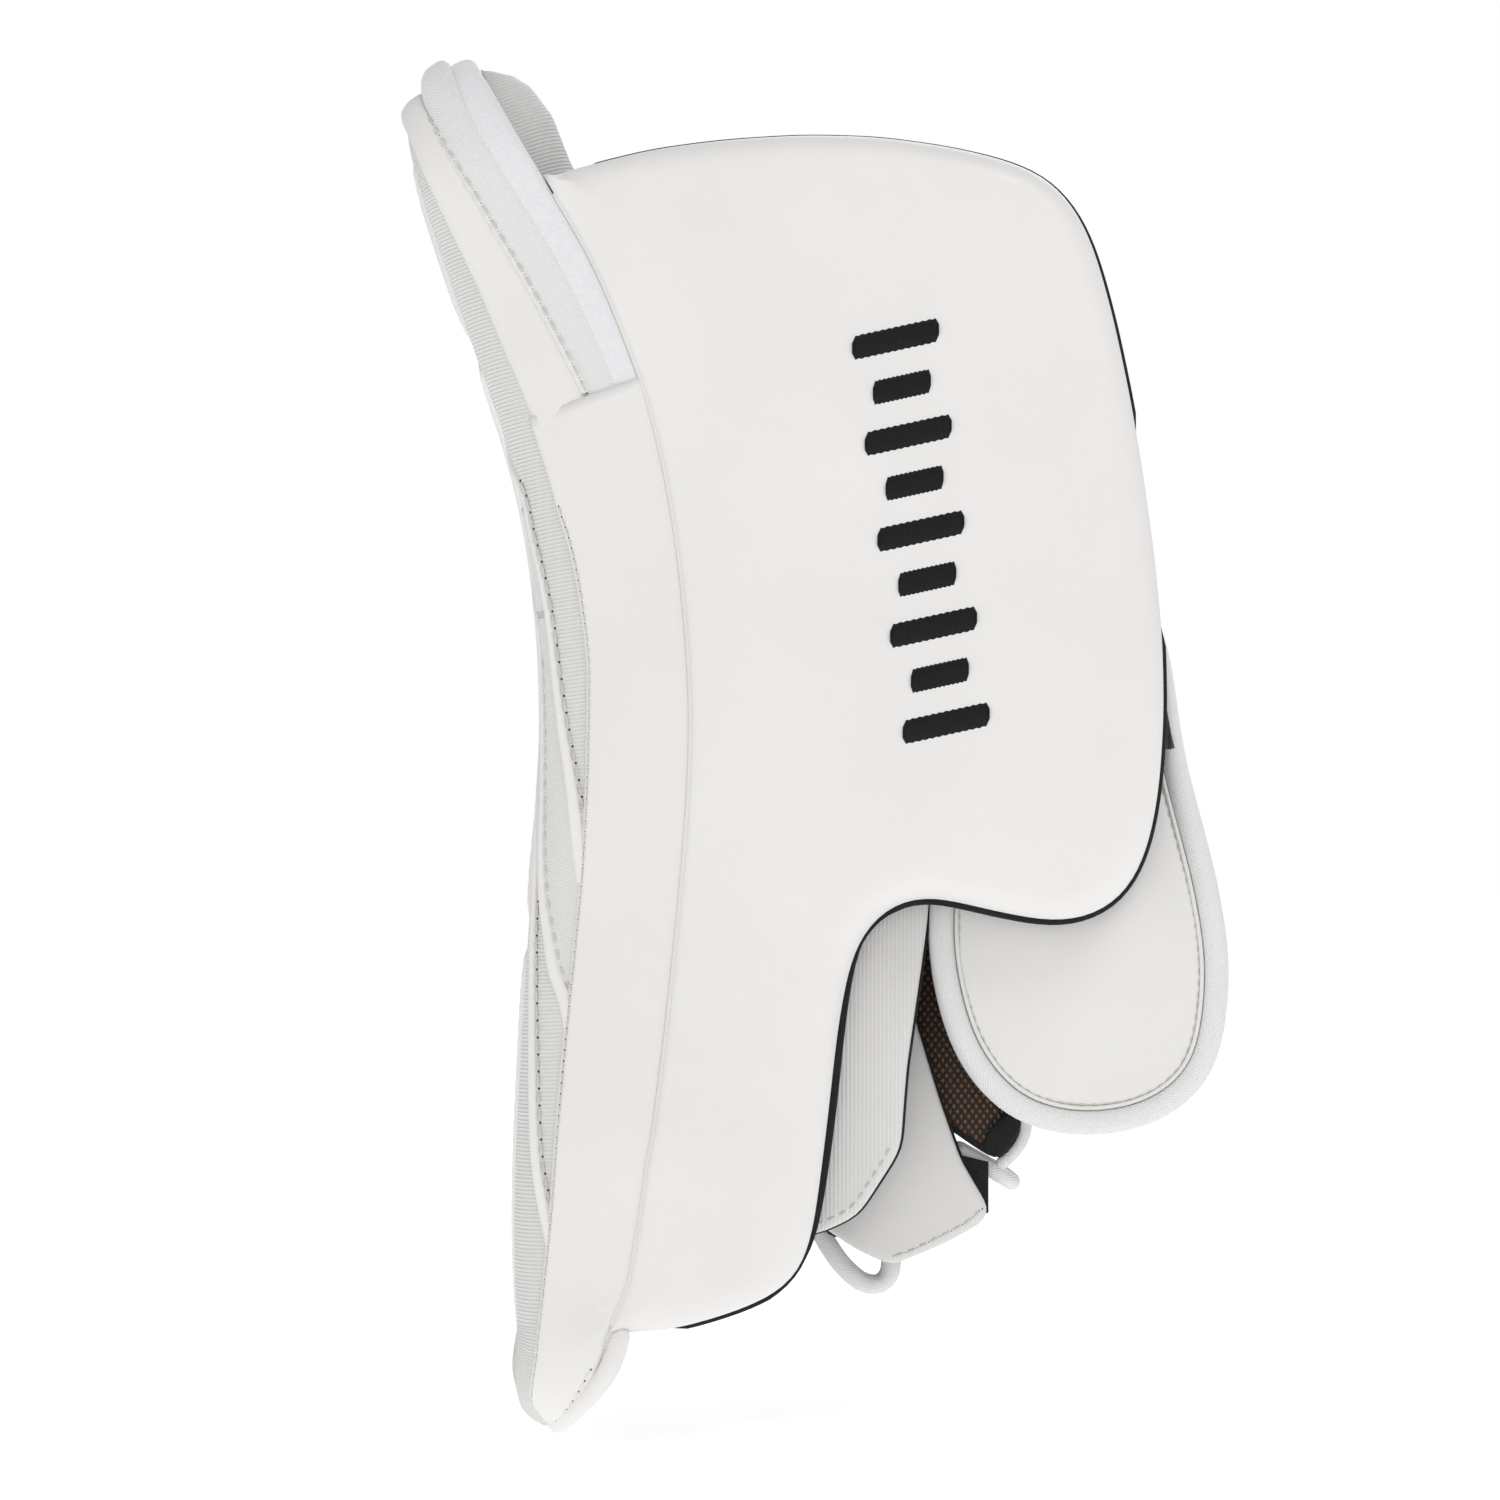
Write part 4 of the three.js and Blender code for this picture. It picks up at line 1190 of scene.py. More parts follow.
def add_crescents():
    """The panels' ends, turned over the edge as stitched crescents, on both sides of the board."""
    widths = {
        "upper": lambda s: 1.4 + 3.2 * s**2,
        "lower": lambda s: 1.4 + 3.0 * s**2,
        "tip": lambda s: 1.8 + 1.6 * s,
    }
    where = ("board", "leather")
    for name, width in widths.items():
        route = crescent_route(name)
        for side in ("thumb", "far"):
            label = f"crescent_{name}_{side}"
            places = route if side == "thumb" else [Vector((mirrored(p.x), p.y, 0)) for p in route]
            ribbon(label, places, width, "panel", where)
            line = []
            past_rounding = [p for p in resample(spline(places), 1.5) if p.y > 4]
            for k, p in enumerate(past_rounding):
                s = k / (len(past_rounding) - 1)
                line.append(skin_point(p.x, p.y + width(s) * 0.5 + 0.9, 0.25))
            facing = (-0.5, -1 if side == "thumb" else 1, 0)
            stitches(f"{label}_stitch", line, facing, "thread", 4.6, 3.2, 0.3, where=where)
            needle_holes(f"{label}_marks", line, facing, 4.6, 0.4, 0.15, where=where)
    add_twill_field()


def add_twill_field():
    """Diagonal-weave cloth between the upper and lower crescents."""
    for side in ("thumb", "far"):
        sections = []
        for i in range(61):
            z = lerp(66, -66, i / 60)
            low = table_value(CRESCENTS["lower"], z)
            high = table_value(CRESCENTS["upper"], z)
            t0, q0 = side_place(FRONT(z) + max(low, 0.0), z)
            t1, q1 = side_place(FRONT(z) + max(high, 0.3), z)
            if low < 0:
                q0 = -6.0
            if side == "far":
                t0, t1 = mirrored(t0), mirrored(t1)
            top = []
            for j in range(9):
                share = j / 8
                top.append(skin_point(lerp(t0, t1, share), lerp(q0, q1, share), 0.35 * crown(share, 8)))
            sections.append(top + [skin_point(t1, q1, -0.5), skin_point(t0, q0, -0.5)])
        sweep(f"twill_field_{side}", sections, "twill_cloth", where=("board", "nylon"))


# ---------------------------------------------------------------- wrap strip
# Front edge of the wrap as [x, z], from the wrist end to the fingers, and the two ends of its top edge.
WRAP_EDGE = [(-48, 99), (-44.6, 90.5), (-39.3, 74.5), (-36.5, 64), (-34, 55.9), (-31.2, 42.7), (-28.9, 25),
             (-28.7, 12.4), (-29.2, -10), (-30.4, -33), (-32.6, -57), (-35.1, -80.3), (-37.4, -106),
             (-39.3, -131.7), (-42.4, -164.2), (-44.1, -180.8), (-43.5, -195)]
WRAP_TOP = ((-44.6, 90.3), (-13.8, 101.6))
# How far the wrap's back edge lies in from the board's back, by z.
SEAM_INSET = [(-105, 0), (-124, 1.0), (-148, 3.1), (-163, 5.8), (-173, 3.4), (-183, 0.8), (-192, 0.3)]


WRAP_EDGE_LINE = [(p.y, p.x) for p in spline(WRAP_EDGE)]


# The last stitches of the wrap, beside the roll of the tip.
TIP_SEAM = [(-27.6, -172), (-32.1, -179.3), (-38, -187)]


def wrap_edge_x(z):
    return table_value(WRAP_EDGE_LINE, z)


def seam_x(z):
    """Where the wrap meets the side board, and below it the roll of the tip."""
    return BACK(z) - table_value(SEAM_INSET, z)


def wrap_top(x):
    (x0, z0), (x1, z1) = WRAP_TOP
    return lerp(z0, z1, clamp((x - x0) / (x1 - x0)))


def under_wrap(x):
    """The t where a band at x ends, just under the wrap's top edge."""
    return side_place(x, wrap_top(x) - 3)[0]


def wrap_rise(v, below_top):
    """Lift of the wrap off the rim: a turned edge, a soft belly, a dip to the seam with the side board, and
    extra over the ends of the bands."""
    edge = clamp(v / 0.04) ** 0.5
    seam = 1 - clamp((v - 0.93) / 0.07) ** 2
    over_bands = 0.6 * clamp(1 - below_top / 20) ** 1.5 * clamp((v - 0.3) / 0.2)
    thin = lerp(0.7, 1, clamp(below_top / 14))
    return (0.35 + 0.75 * edge + 0.45 * math.sin(math.pi * v)) * (0.25 + 0.75 * seam) * thin + over_bands


def wrap_folds(x, z):
    """Soft folds beside the side board's lower corner."""
    run = (z + 157) - (x + 24) * 0.55
    near = clamp(1 - abs(run) / 13) * clamp(1 - abs(x + 27) / 11)
    return 0.8 * near * math.sin(run * 1.1)


def add_wrap():
    """The leather strip between the bands and the side board, with its stitches and needle marks."""
    rows = 96
    columns = 20
    low_z = HEIGHT_LOW - 1.5
    sections = []
    for i in range(rows + 1):
        share = i / rows
        top = []
        for j in range(columns + 1):
            v = j / columns
            v = v - 0.05 * math.sin(2 * math.pi * v)
            upper = wrap_top(lerp(WRAP_TOP[0][0], WRAP_TOP[1][0], v))
            z = lerp(low_z, upper, share)
            x = lerp(wrap_edge_x(z), seam_x(z) - 0.1, v)
            crease = 0.2 * noise.noise(Vector((x * 0.05, 0, z * 0.03))) + wrap_folds(x, z)
            top.append(side_point(x, z, wrap_rise(v, upper - z) + crease))
        ends = []
        for (_, z_top), edge, sink in ((WRAP_TOP[1], seam_x, -1.2), (WRAP_TOP[0], wrap_edge_x, -0.6)):
            z = lerp(low_z, z_top, share)
            ends.append(side_point(edge(z), z, sink))
        sections.append(top + ends)
    sweep("wrap_strip", sections, "leather", where=("board", "leather", "side_wrap"))
    facing = (-0.2, -1, 0)
    where = ("board", "leather")
    front = [side_point(wrap_edge_x(z) + 0.9, z, 1.1) for z in np.linspace(66, HEIGHT_LOW + 3, 170)]
    needle_holes("wrap_edge_marks", front, facing, 3.0, 0.34, 0.2, where=where)
    stitches("wrap_edge_stitch", front, facing, "thread", 3.0, 2.2, 0.24, 0.2, where=where)
    tip = [side_point(p.x, p.y, 1.25) for p in resample(spline(TIP_SEAM), 1.0)]
    needle_holes("tip_marks", tip, facing, 3.9, 0.42, 0.25, where=where)
    stitches("tip_stitch", tip, facing, "leather", 3.9, 2.4, 0.26, 0.2, where=where)


def side_point(x, z, lift):
    """A point off the cover of the thumb side, given as seen from that side."""
    t, q = side_place(x, z)
    return skin_point(t, q, lift)


# ---------------------------------------------------------------- side board
def smooth_outline(points, spacing, passes):
    return relax(resample(points, spacing, closed=True), passes)


BLEND_STEPS = 2  # outline points on each side over which the backing's reach is evened out


def liner_proud(p):
    """How far the side board's backing shows past its cover."""
    if p.x < BACK(p.y) + 9:
        return -1.5
    if p.x < 70 and -150 < p.y < -50:
        return 2.0 * math.sin(math.pi * (p.y + 150) / 100) ** 0.5 + 0.5
    if p.x > 90 and 34 < p.y < 84:
        return -0.6
    if p.y < -120:
        return 2.3
    if p.y > 84:
        return lerp(1.7, 1.9, clamp((p.x - 70) / 25))
    return 2.0


def side_board_outline():
    """Outline of the side board: the seam with the wrap, then the smoothed free edge."""
    raw = flat_outline("sideboard_skin", 1, node_box("sideboard_skin")[0].y)
    on_seam = [k for k, p in enumerate(raw) if abs(p.x - BACK(p.y)) < 2.5]
    top = max(on_seam, key=lambda k: raw[k].y)
    low = min(on_seam, key=lambda k: raw[k].y)
    first = raw[low:] + raw[:low]
    free = first[: (top - low) % len(raw) + 1]
    free = relax(resample(free, 3.0), 6, closed=False)
    free[0] = Vector((seam_x(free[0].y) + 0.2, free[0].y))
    seam = [Vector((seam_x(z) + 0.2, z)) for z in np.linspace(free[-1].y, free[0].y, 110)]
    return free + seam[1:-1]


def cover_relief(p, d):
    """The side board's soft belly and faint waves, as a distance back from its front."""
    belly = 0.9 * clamp(d / 55) ** 0.7
    return 0.22 * noise.noise(Vector((p.x * 0.022, 0.0, p.y * 0.022))) - belly


def edge_dip(d):
    """The side board's slow fall towards its free edge."""
    return 1.2 * clamp(1 - d / 34) ** 2


def add_side_board():
    """The side board's padded cover, its foam, its black backing and the seam to the wrap."""
    outline = side_board_outline()
    seam = [Vector((seam_x(z) + 0.2, z)) for z in range(-164, 158, 3)]
    low, high = node_box("sideboard_skin")
    front = low.y + 0.4
    rim_y = high.y - 0.3
    foam_in = 2.2

    def near(p, d):
        to_seam = distances([p], seam, closed=False)[0]
        fall = rounding(d, 2.0) if to_seam < d + 1.5 else rounding(d, 7.5) + edge_dip(d)
        return front + fall + cover_relief(p, d)

    plate(
        "side_board", outline, near, flat_face(rim_y), "panel", spacing=5.5,
        rings=(0.25, 0.8, 1.6, 2.6, 3.8, 5.2, 6.8, 9.0), sharp=50,
        where=("board", "leather", "sideboard_skin"),
    )
    plate(
        "side_board_foam", inset(outline, foam_in), lambda p, d: near(p, d + foam_in) + 1.9,
        flat_face(rim_y - foam_in), "foam", spacing=9, rings=(1.0, 3.0, 6.0),
        where=("board", "foam", "sideboard_foam"),
    )
    add_side_board_liner(outline)
    # The cream tube lies in the groove where the side board meets the wrap: it marks the seam, and its cream
    # tint is painted shade of the groove.
    line = [Vector((seam_x(z) + 0.25, front + 1.75, z)) for z in range(-160, 154, 2)]
    tube("side_board_seam", line, 0.8, "cream", where=("board", "leather"))
    upper = [p for p in line if 50 < p.z < 112]
    needle_holes("side_board_seam_marks", upper, (-0.3, -1, 0), 3.3, 0.34, 0.85, where=("board", "leather"))


def add_side_board_liner(outline):
    """The black backing, which stands out past the cover where liner_proud says so."""
    low, high = node_box("sideboard_liner")
    proud = [liner_proud(p) for p in outline]
    blend = range(-BLEND_STEPS, BLEND_STEPS + 1)
    proud = [sum(proud[(k + step) % len(proud)] for step in blend) / len(blend) for k in range(len(proud))]
    edge = [p - (q - p) * reach for p, q, reach in zip(outline, inset(outline, 1.0), proud)]
    plate(
        "side_board_liner", edge, near_face(low.y - 0.25, 0.7),
        far_face(high.y, 0.7), "black", spacing=12, rings=(0.3, 0.8, 3), sharp=50,
        where=("board", "lining", "sideboard_liner"),
    )


def add_embroidery():
    """A generic row of slanted bars in black satin stitch, long and short by turns."""
    count = 9
    length = 118.0
    lean = math.tan(math.radians(7.5))
    outline = side_board_outline()
    for n in range(count):
        z = lerp(6, length - 6, n / (count - 1))
        add_bar(f"embroidered_bar_{n + 1}", outline, 71.5 - z * lean, z, 8.0 if n % 2 else 12.0)


def add_bar(name, outline, centre_x, centre_z, half):
    """One satin bar that follows the side board's cover, with a ragged edge from its threads."""
    low, _ = node_box("sideboard_skin")
    steps = 26
    sections = []
    for i in range(steps + 1):
        u = i / steps
        ragged = 0.16 if i % 2 else -0.16
        x = centre_x + lerp(-half, half, u)
        z = centre_z + lerp(-half, half, u) * 0.22
        wide = 3.3 * (0.5 + 0.5 * crown(u, 24)) + ragged
        section = []
        for j in range(7):
            point = Vector((x, z + (2 * j / 6 - 1) * wide))
            depth = distances([point], outline)[0]
            base = low.y + 0.4 + cover_relief(point, depth) + edge_dip(depth)
            section.append(Vector((point.x, base - 0.75 * crown(j / 6, 3), point.y)))
        section.append(Vector((x, section[-1].y + 1.0, z + wide)))
        section.append(Vector((x, section[0].y + 1.0, z - wide)))
        sections.append(section)
    sweep(name, sections, "ink", where=("board", "lining"))


# ---------------------------------------------------------------- rolls, softened and inflated pieces
def outline_roll(name, outline, width, y0, y1, material, where, axis=1):
    """A bound edge that runs round an outline: width reaches in from the outline, y0 and y1 are its faces."""
    sides = 14
    fullness = 2 / 2.6
    sections = []
    for p, q in zip(outline, inset(outline, 1.0)):
        inward = (q - p).normalized()
        section = []
        for k in range(sides):
            angle = 2 * math.pi * k / sides
            spot = p + inward * (width / 2) * (1 + squared(math.cos(angle), fullness))
            level = lerp(y0, y1, 0.5 + 0.5 * squared(math.sin(angle), fullness))
            section.append(raised(spot, level, axis))
        sections.append(section)
    return sweep(name, sections, material, where, closed=True)


def evaluated(obj):
    """The object's mesh with its modifiers applied, which are then removed."""
    graph = bpy.context.evaluated_depsgraph_get()
    graph.update()
    mesh = bpy.data.meshes.new_from_object(obj.evaluated_get(graph), depsgraph=graph)
    obj.modifiers.clear()
    obj.data = mesh


def softened(name, node, material, where, voxel=1.6, passes=4):
    """A copy of a node with its edges rounded off."""
    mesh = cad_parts[node].data.copy()
    obj = linked(name, mesh)
    remesh = obj.modifiers.new("voxels", "REMESH")
    remesh.mode = "VOXEL"
    remesh.voxel_size = voxel * MM
    relaxing = obj.modifiers.new("relax", "SMOOTH")
    relaxing.iterations = passes
    relaxing.factor = 0.5
    evaluated(obj)
    obj.data.name = name
    obj.data.materials.clear()
    obj.data.materials.append(MATERIALS[material])
    obj.data.shade_smooth()
    return place(obj, *where)


CLOTH_FRAMES = 20


def inflated(name, node, material, where, voxel, cap):
    """A stuffed piece: the node's solid, swelled by a cloth simulation and held to a cap, in mm."""
    obj = softened(name, node, material, where, voxel, passes=3)
    rest = [v.co.copy() for v in obj.data.vertices]
    swell_as_cloth(obj)
    for vert, start in zip(obj.data.vertices, rest):
        move = vert.co - start
        if move.length > cap * MM:
            vert.co = start + move.normalized() * cap * MM
    bpy.context.scene.frame_set(1)
    finer = obj.modifiers.new("finer", "SUBSURF")
    finer.levels = 1
    finer.render_levels = 1
    evaluated(obj)
    obj.data.name = name
    obj.data.shade_smooth()
    return obj


def swell_as_cloth(obj):
    """Runs a short pressure simulation and keeps its last shape."""
    cloth = obj.modifiers.new("stuffing", "CLOTH")
    cloth.settings.quality = 6
    cloth.settings.mass = 0.3
    cloth.settings.tension_stiffness = 18
    cloth.settings.compression_stiffness = 18
    cloth.settings.bending_stiffness = 0.6
    cloth.settings.use_pressure = True
    cloth.settings.uniform_pressure_force = 4.0
    cloth.settings.effector_weights.gravity = 0
    cloth.point_cache.frame_start = 1
    cloth.point_cache.frame_end = CLOTH_FRAMES
    for number in range(1, CLOTH_FRAMES + 1):
        bpy.context.scene.frame_set(number)
    evaluated(obj)


# ---------------------------------------------------------------- index finger guard and sleeve
def add_index_guard():
    """The ribbed plate over the index finger, its black lining and its hem."""
    low, _ = node_box("index_guard_skin")
    _, high = node_box("index_guard_liner")
    outline = smooth_outline(flat_outline("index_guard_skin", 1, low.y), 2.5, 3)
    middle = (low.x + high.x) / 2
    for p in outline:
        if p.x > middle:
            p.x += 2.0 * clamp((p.y + 90) / 40)

    def near(p, d):
        bow = 1.6 * ((p.x - middle) / 30) ** 2
        return low.y - 0.6 + rounding(d, 1.8) + bow

    plate(
        "index_guard", outline, near, flat_face(high.y - 1.6), "columns", spacing=5,
        rings=(0.3, 0.9, 1.8, 4), sharp=60, where=("board", "nylon", "index_guard_skin"),
    )
    wide = inset(outline, -0.9)
    plate(
        "index_guard_liner_cloth", wide, near_face(high.y - 2.2, 0.8),
        far_face(high.y, 0.7), "black", spacing=9, rings=(0.3, 0.8, 3), sharp=60,
        where=("board", "lining", "index_guard_liner"),
    )
    hem = [p for p in inset(outline, 2.6) if p.y < -112 and p.x > 5]
    hem.sort(key=lambda p: p.x)
    line = [Vector((p.x, near(p, 2.6), p.y)) for p in hem]
    stitches("index_guard_hem", line, (0, -1, 0), "thread", 3.4, 2.4, 0.25, where=("board", "nylon"))


def add_index_sleeve():
    """The flared leather sleeve of the index finger, its lining and its stitched hem."""
    low, high = node_box("index_sleeve")
    outline = smooth_outline(flat_outline("index_sleeve", 1, low.y), 2.0, 2)

    def near(p, d):
        share = clamp((p.x - low.x) / (high.x - low.x))
        return low.y + 0.3 + rounding(d, 1.6) + 2.0 * (share - 0.6) ** 2

    # The sleeve wears the darker sleeve leather: painted shade.
    plate(
        "index_sleeve_leather", outline, near, flat_face(high.y - 1.6), "sleeve", spacing=4,
        rings=(0.3, 0.8, 1.6, 3.5), sharp=60, where=("index_finger", "leather", "index_sleeve"),
    )
    wide = []
    for p, q in zip(outline, inset(outline, 1.0)):
        under_hem = p.y < -134 and p.x > 42
        wide.append(p - (q - p) * (-0.8 if under_hem else 0.8))
    for p in wide:
        if p.x > 74 and -132 < p.y < -119:
            p.x = max(p.x, 84.8)
    plate(
        "index_sleeve_lining", wide, near_face(high.y - 1.5, 0.5),
        far_face(high.y - 0.3, 0.5), "black", spacing=7, rings=(0.3, 0.8, 3), sharp=60,
        where=("index_finger", "lining"),
    )
    hem = resample(spline(SLEEVE_HEM), 1.5)
    line = [Vector((p.x, near(p, 3.4) - 0.05, p.y)) for p in hem]
    facing = (0, -1, 0)
    stitches("index_sleeve_hem", line, facing, "thread", 3.6, 2.6, 0.26, where=("index_finger", "leather"))
    needle_holes("index_sleeve_marks", line, facing, 3.6, 0.3, 0.15, where=("index_finger", "leather"))


SLEEVE_HEM = [(57.5, -145.6), (62, -144.3), (70.5, -140.2), (78, -136.2), (82.8, -132.2)]
INDEX_TAB_ROUTE = [(35, 50.5, -136), (38.5, 50.5, -142.5), (43, 50.5, -149), (48.5, 50.5, -153.8),
                   (53.5, 50.5, -154.6), (56.6, 50.5, -151.5), (57.2, 50.5, -146)]
THUMB_TAB_ROUTE = [(77, 50, -116.8), (87, 50, -122.4), (91, 52.2, -124.9), (92, 55, -125.6),
                   (91, 57.8, -124.9), (87, 60, -122.4), (77, 60, -116.8)]


def add_tab(name, node, route, radius, body):
    path = resample(spline(route), 1.6)
    tube(name, path, radius, "twill", sides=14, where=(body, "nylon", node))


# ---------------------------------------------------------------- thumb
def add_thumb():
    """The thumb guard: its stuffed panel, foam, bound edge, piping and stitches."""
    low, _ = node_box("thumb_outer_skin")
    bind_low, bind_high = node_box("thumb_binding")
    edge = smooth_outline(flat_outline("thumb_binding", 1, bind_low.y), 3.0, 4)
    panel_edge = smooth_outline(flat_outline("thumb_outer_skin", 1, low.y), 3.0, 4)

    def near(p, d):
        puff = 2.4 * clamp(d / 26) ** 0.6
        pucker = 0.16 * noise.noise(Vector((p.x * 0.16, 0, p.y * 0.16))) * clamp(1 - d / 14)
        cloud = 0.3 * noise.noise(Vector((p.x * 0.04, 3, p.y * 0.04)))
        return low.y + 2.6 + rounding(d, 2.2) * 0.6 - puff + pucker + cloud

    # The thumb pad wears the darker guard leather: painted shade.
    panel = plate(
        "thumb_pad", panel_edge, near, flat_face(low.y + 5.0), "guard", spacing=4.5,
        rings=(0.3, 0.9, 1.8, 3.2, 5), sharp=60, where=("thumb", "leather", "thumb_outer_skin"),
    )
    _, foam_high = node_box("thumb_foam")
    plate(
        "thumb_foam_core", inset(panel_edge, 1.0), flat_face(low.y + 5.2), flat_face(foam_high.y),
        "foam", spacing=10, rings=(1.5, 4.0), where=("thumb", "foam", "thumb_foam"),
    )
    outline_roll(
        "thumb_bound_edge", edge, 7.6, bind_low.y - 1.2, bind_high.y, "twill",
        where=("thumb", "nylon", "thumb_binding"),
    )
    bead_line = [Vector((p.x, low.y + 2.5, p.y)) for p in inset(edge, 7.9)]
    tube("thumb_piping", bead_line, 0.62, "cream", closed=True, where=("thumb", "leather"))
    loop = inset(edge, 8.9)
    line = [Vector((p.x, low.y + 2.75, p.y)) for p in loop + loop[:1]]
    facing = (0, -1, 0)
    stitches("thumb_stitch", line, facing, "thread", 3.2, 2.3, 0.26, 0.3, where=("thumb", "leather"))
    needle_holes("thumb_needle_marks", line, facing, 3.2, 0.34, 0.2, where=("thumb", "leather"))
    inner_low, inner_high = node_box("thumb_inner_skin")
    plate(
        "thumb_inner_cloth", panel_edge, flat_face(inner_low.y - 1),
        far_face(inner_high.y, 1.1),
        "black", spacing=9, rings=(0.4, 1.2, 3), sharp=60, where=("thumb", "lining", "thumb_inner_skin"),
    )
    add_thumb_inside()


HINGE_WEDGE = [(126, 11), (133.6, 11), (134.8, 4), (136, -1.2), (126, -1.2)]
NETTING_END = [(84.5, -110.5), (93, -102.5), (93.6, -111), (88.2, -118.6), (83, -114.8)]
NETTING_PIPING = [(95, -103), (95.6, -109.2), (94.6, -113.3), (92, -117), (88.9, -119.8)]


def add_thumb_inside():
    """The thumb's pouch, its netting with edge and piping, its pull tab and the hinge webbing."""
    softened("thumb_pouch", "thumb_stall", "palm", where=("thumb", "palm", "thumb_stall"))
    low, high = node_box("thumb_mesh_panel")
    outline = smooth_outline(flat_outline("thumb_mesh_panel", 1, low.y), 2.0, 2)
    middle = (low.x + high.x) / 2
    plate(
        "thumb_netting", outline, lambda p, d: low.y + 1.8 * ((p.x - middle) / 12) ** 2 + rounding(d, 1.2),
        far_face(high.y, 1.2), "mesh", spacing=4, rings=(0.4, 1.2, 3), sharp=60,
        where=("thumb", "mesh", "thumb_mesh_panel"),
    )
    trim = [Vector((p.x, low.y + 1.4, p.y)) for p in outline]
    tube("thumb_netting_edge", trim, 1.3, "black", closed=True, where=("thumb", "lining"))
    patch = relax(resample(NETTING_END, 1.2, closed=True), 1)
    plate(
        "thumb_netting_end", patch, near_face(low.y - 0.3, 0.8), flat_face(low.y + 3),
        "black", spacing=3, rings=(0.3, 0.8), where=("thumb", "lining"),
    )
    piping = resample(spline([Vector((x, low.y + 2.5, z)) for x, z in NETTING_PIPING]), 1.5)
    tube("thumb_netting_piping", piping, 1.9, "twill", where=("thumb", "nylon"), sides=12)
    add_tab("thumb_pull_tab", "thumb_tab", THUMB_TAB_ROUTE, 2.5, "thumb")
    low, high = node_box("thumb_hinge_tab")
    outline = resample(HINGE_WEDGE, 1.5, closed=True)
    plate(
        "thumb_hinge_webbing", outline, near_face(low.y, 0.8),
        far_face(high.y, 0.8),
        "webbing", spacing=4, rings=(0.3, 0.8, 2), sharp=60, where=("board", "webbing", "thumb_hinge_tab"),
    )


# ---------------------------------------------------------------- hand
FINGERS = ("index", "middle", "ring", "little")


def add_fingers():
    """The palm-side stalls, each with a stitched seam round its pad and a bound mouth."""
    for finger in FINGERS:
        node = f"{finger}_stall"
        body = f"{finger}_finger"
        low, high = node_box(node)
        softened(f"{finger}_pouch", node, "palm", where=(body, "palm", node))
        stitches(
            f"{finger}_seam", finger_seam(low, high), (1, 0, 0), "thread", 3.4, 2.4, 0.24,
            where=(body, "palm"),
        )
        centre = (low + high) / 2
        half = (high - low) / 2
        mouth = []
        for angle in np.linspace(0, 2 * math.pi, 41)[:-1]:
            x = half.x * squared(math.cos(angle), 0.5) * 0.94
            y = half.y * squared(math.sin(angle), 0.5) * 0.94
            mouth.append(Vector((centre.x + x, centre.y + y, high.z - 0.6)))
        tube(f"{finger}_bound_mouth", mouth, 0.9, "black", closed=True, where=(body, "lining"))


def finger_seam(low, high):
    """A seam on a stall's palm face: down one side, round the fingertip and up the other."""
    y0 = low.y + 3.6
    y1 = high.y - 3.6
    x = high.x - 0.25
    radius = (y1 - y0) / 2
    bottom = low.z + 14
    down = np.linspace(high.z - 3, bottom + radius, 14)
    route = [Vector((x, y0, z)) for z in down]
    for k in range(1, 12):
        angle = math.pi * k / 12
        rise, run = math.sin(angle), math.cos(angle)
        route.append(Vector((x - 1.2 * rise, (y0 + y1) / 2 - radius * run, bottom + radius * (1 - rise))))
    return route + [Vector((x, y1, z)) for z in down[::-1]]


def add_hand():
    """The stuffed pad behind the hand and the soft cloths round the palm."""
    pad = inflated(
        "hand_pad", "hand_back_pad", "palm", voxel=4.5, cap=1.0, where=("board", "palm", "hand_back_pad")
    )
    for name, node, material, slot, voxel in (
        ("palm_cloth", "palm_panel", "palm", "palm", 1.4),
        ("palm_patch", "palm_reinforcement", "palm", "palm", 1.0),
        ("thumb_side_cloth", "thumb_side_gusset", "black", "lining", 1.4),
        ("little_side_cloth", "little_side_gusset", "black", "lining", 1.4),
        ("thumb_crotch_cloth", "thumb_crotch_gusset", "palm", "palm", 1.4),
    ):
        softened(name, node, material, voxel=voxel, passes=2, where=("board", slot, node))
    add_palm_seams()


def add_palm_seams():
    """Double stitching round the palm patch."""
    low, high = node_box("palm_reinforcement")
    for number, margin in ((1, 2.5), (2, 5.0)):
        corners = [
            (low.y + margin, low.z + margin), (high.y - margin, low.z + margin),
            (high.y - margin, high.z - margin), (low.y + margin, high.z - margin),
        ]
        loop = relax(resample(corners, 2.0, closed=True), 3)
        rise = (high.x - 1.5 - (low.x + 1.5)) / (high.z - low.z)
        line = [Vector((low.x + 1.5 + rise * (p.y - low.z) + 0.1, p.x, p.y)) for p in loop + loop[:1]]
        stitches(
            f"palm_patch_stitch_{number}", line, (1, 0, 0), "thread", 3.2, 2.3, 0.24,
            where=("board", "palm"),
        )


# ---------------------------------------------------------------- cuff and wrist strap
# How far the padding roll stands off the board's back, by height.
BACK_ROLL = [(185.5, 0), (184.5, 3.5), (182, 7.5), (178, 10.5), (170, 12), (159, 10), (150, 9), (93, 9),
             (87, 6), (84, 0)]


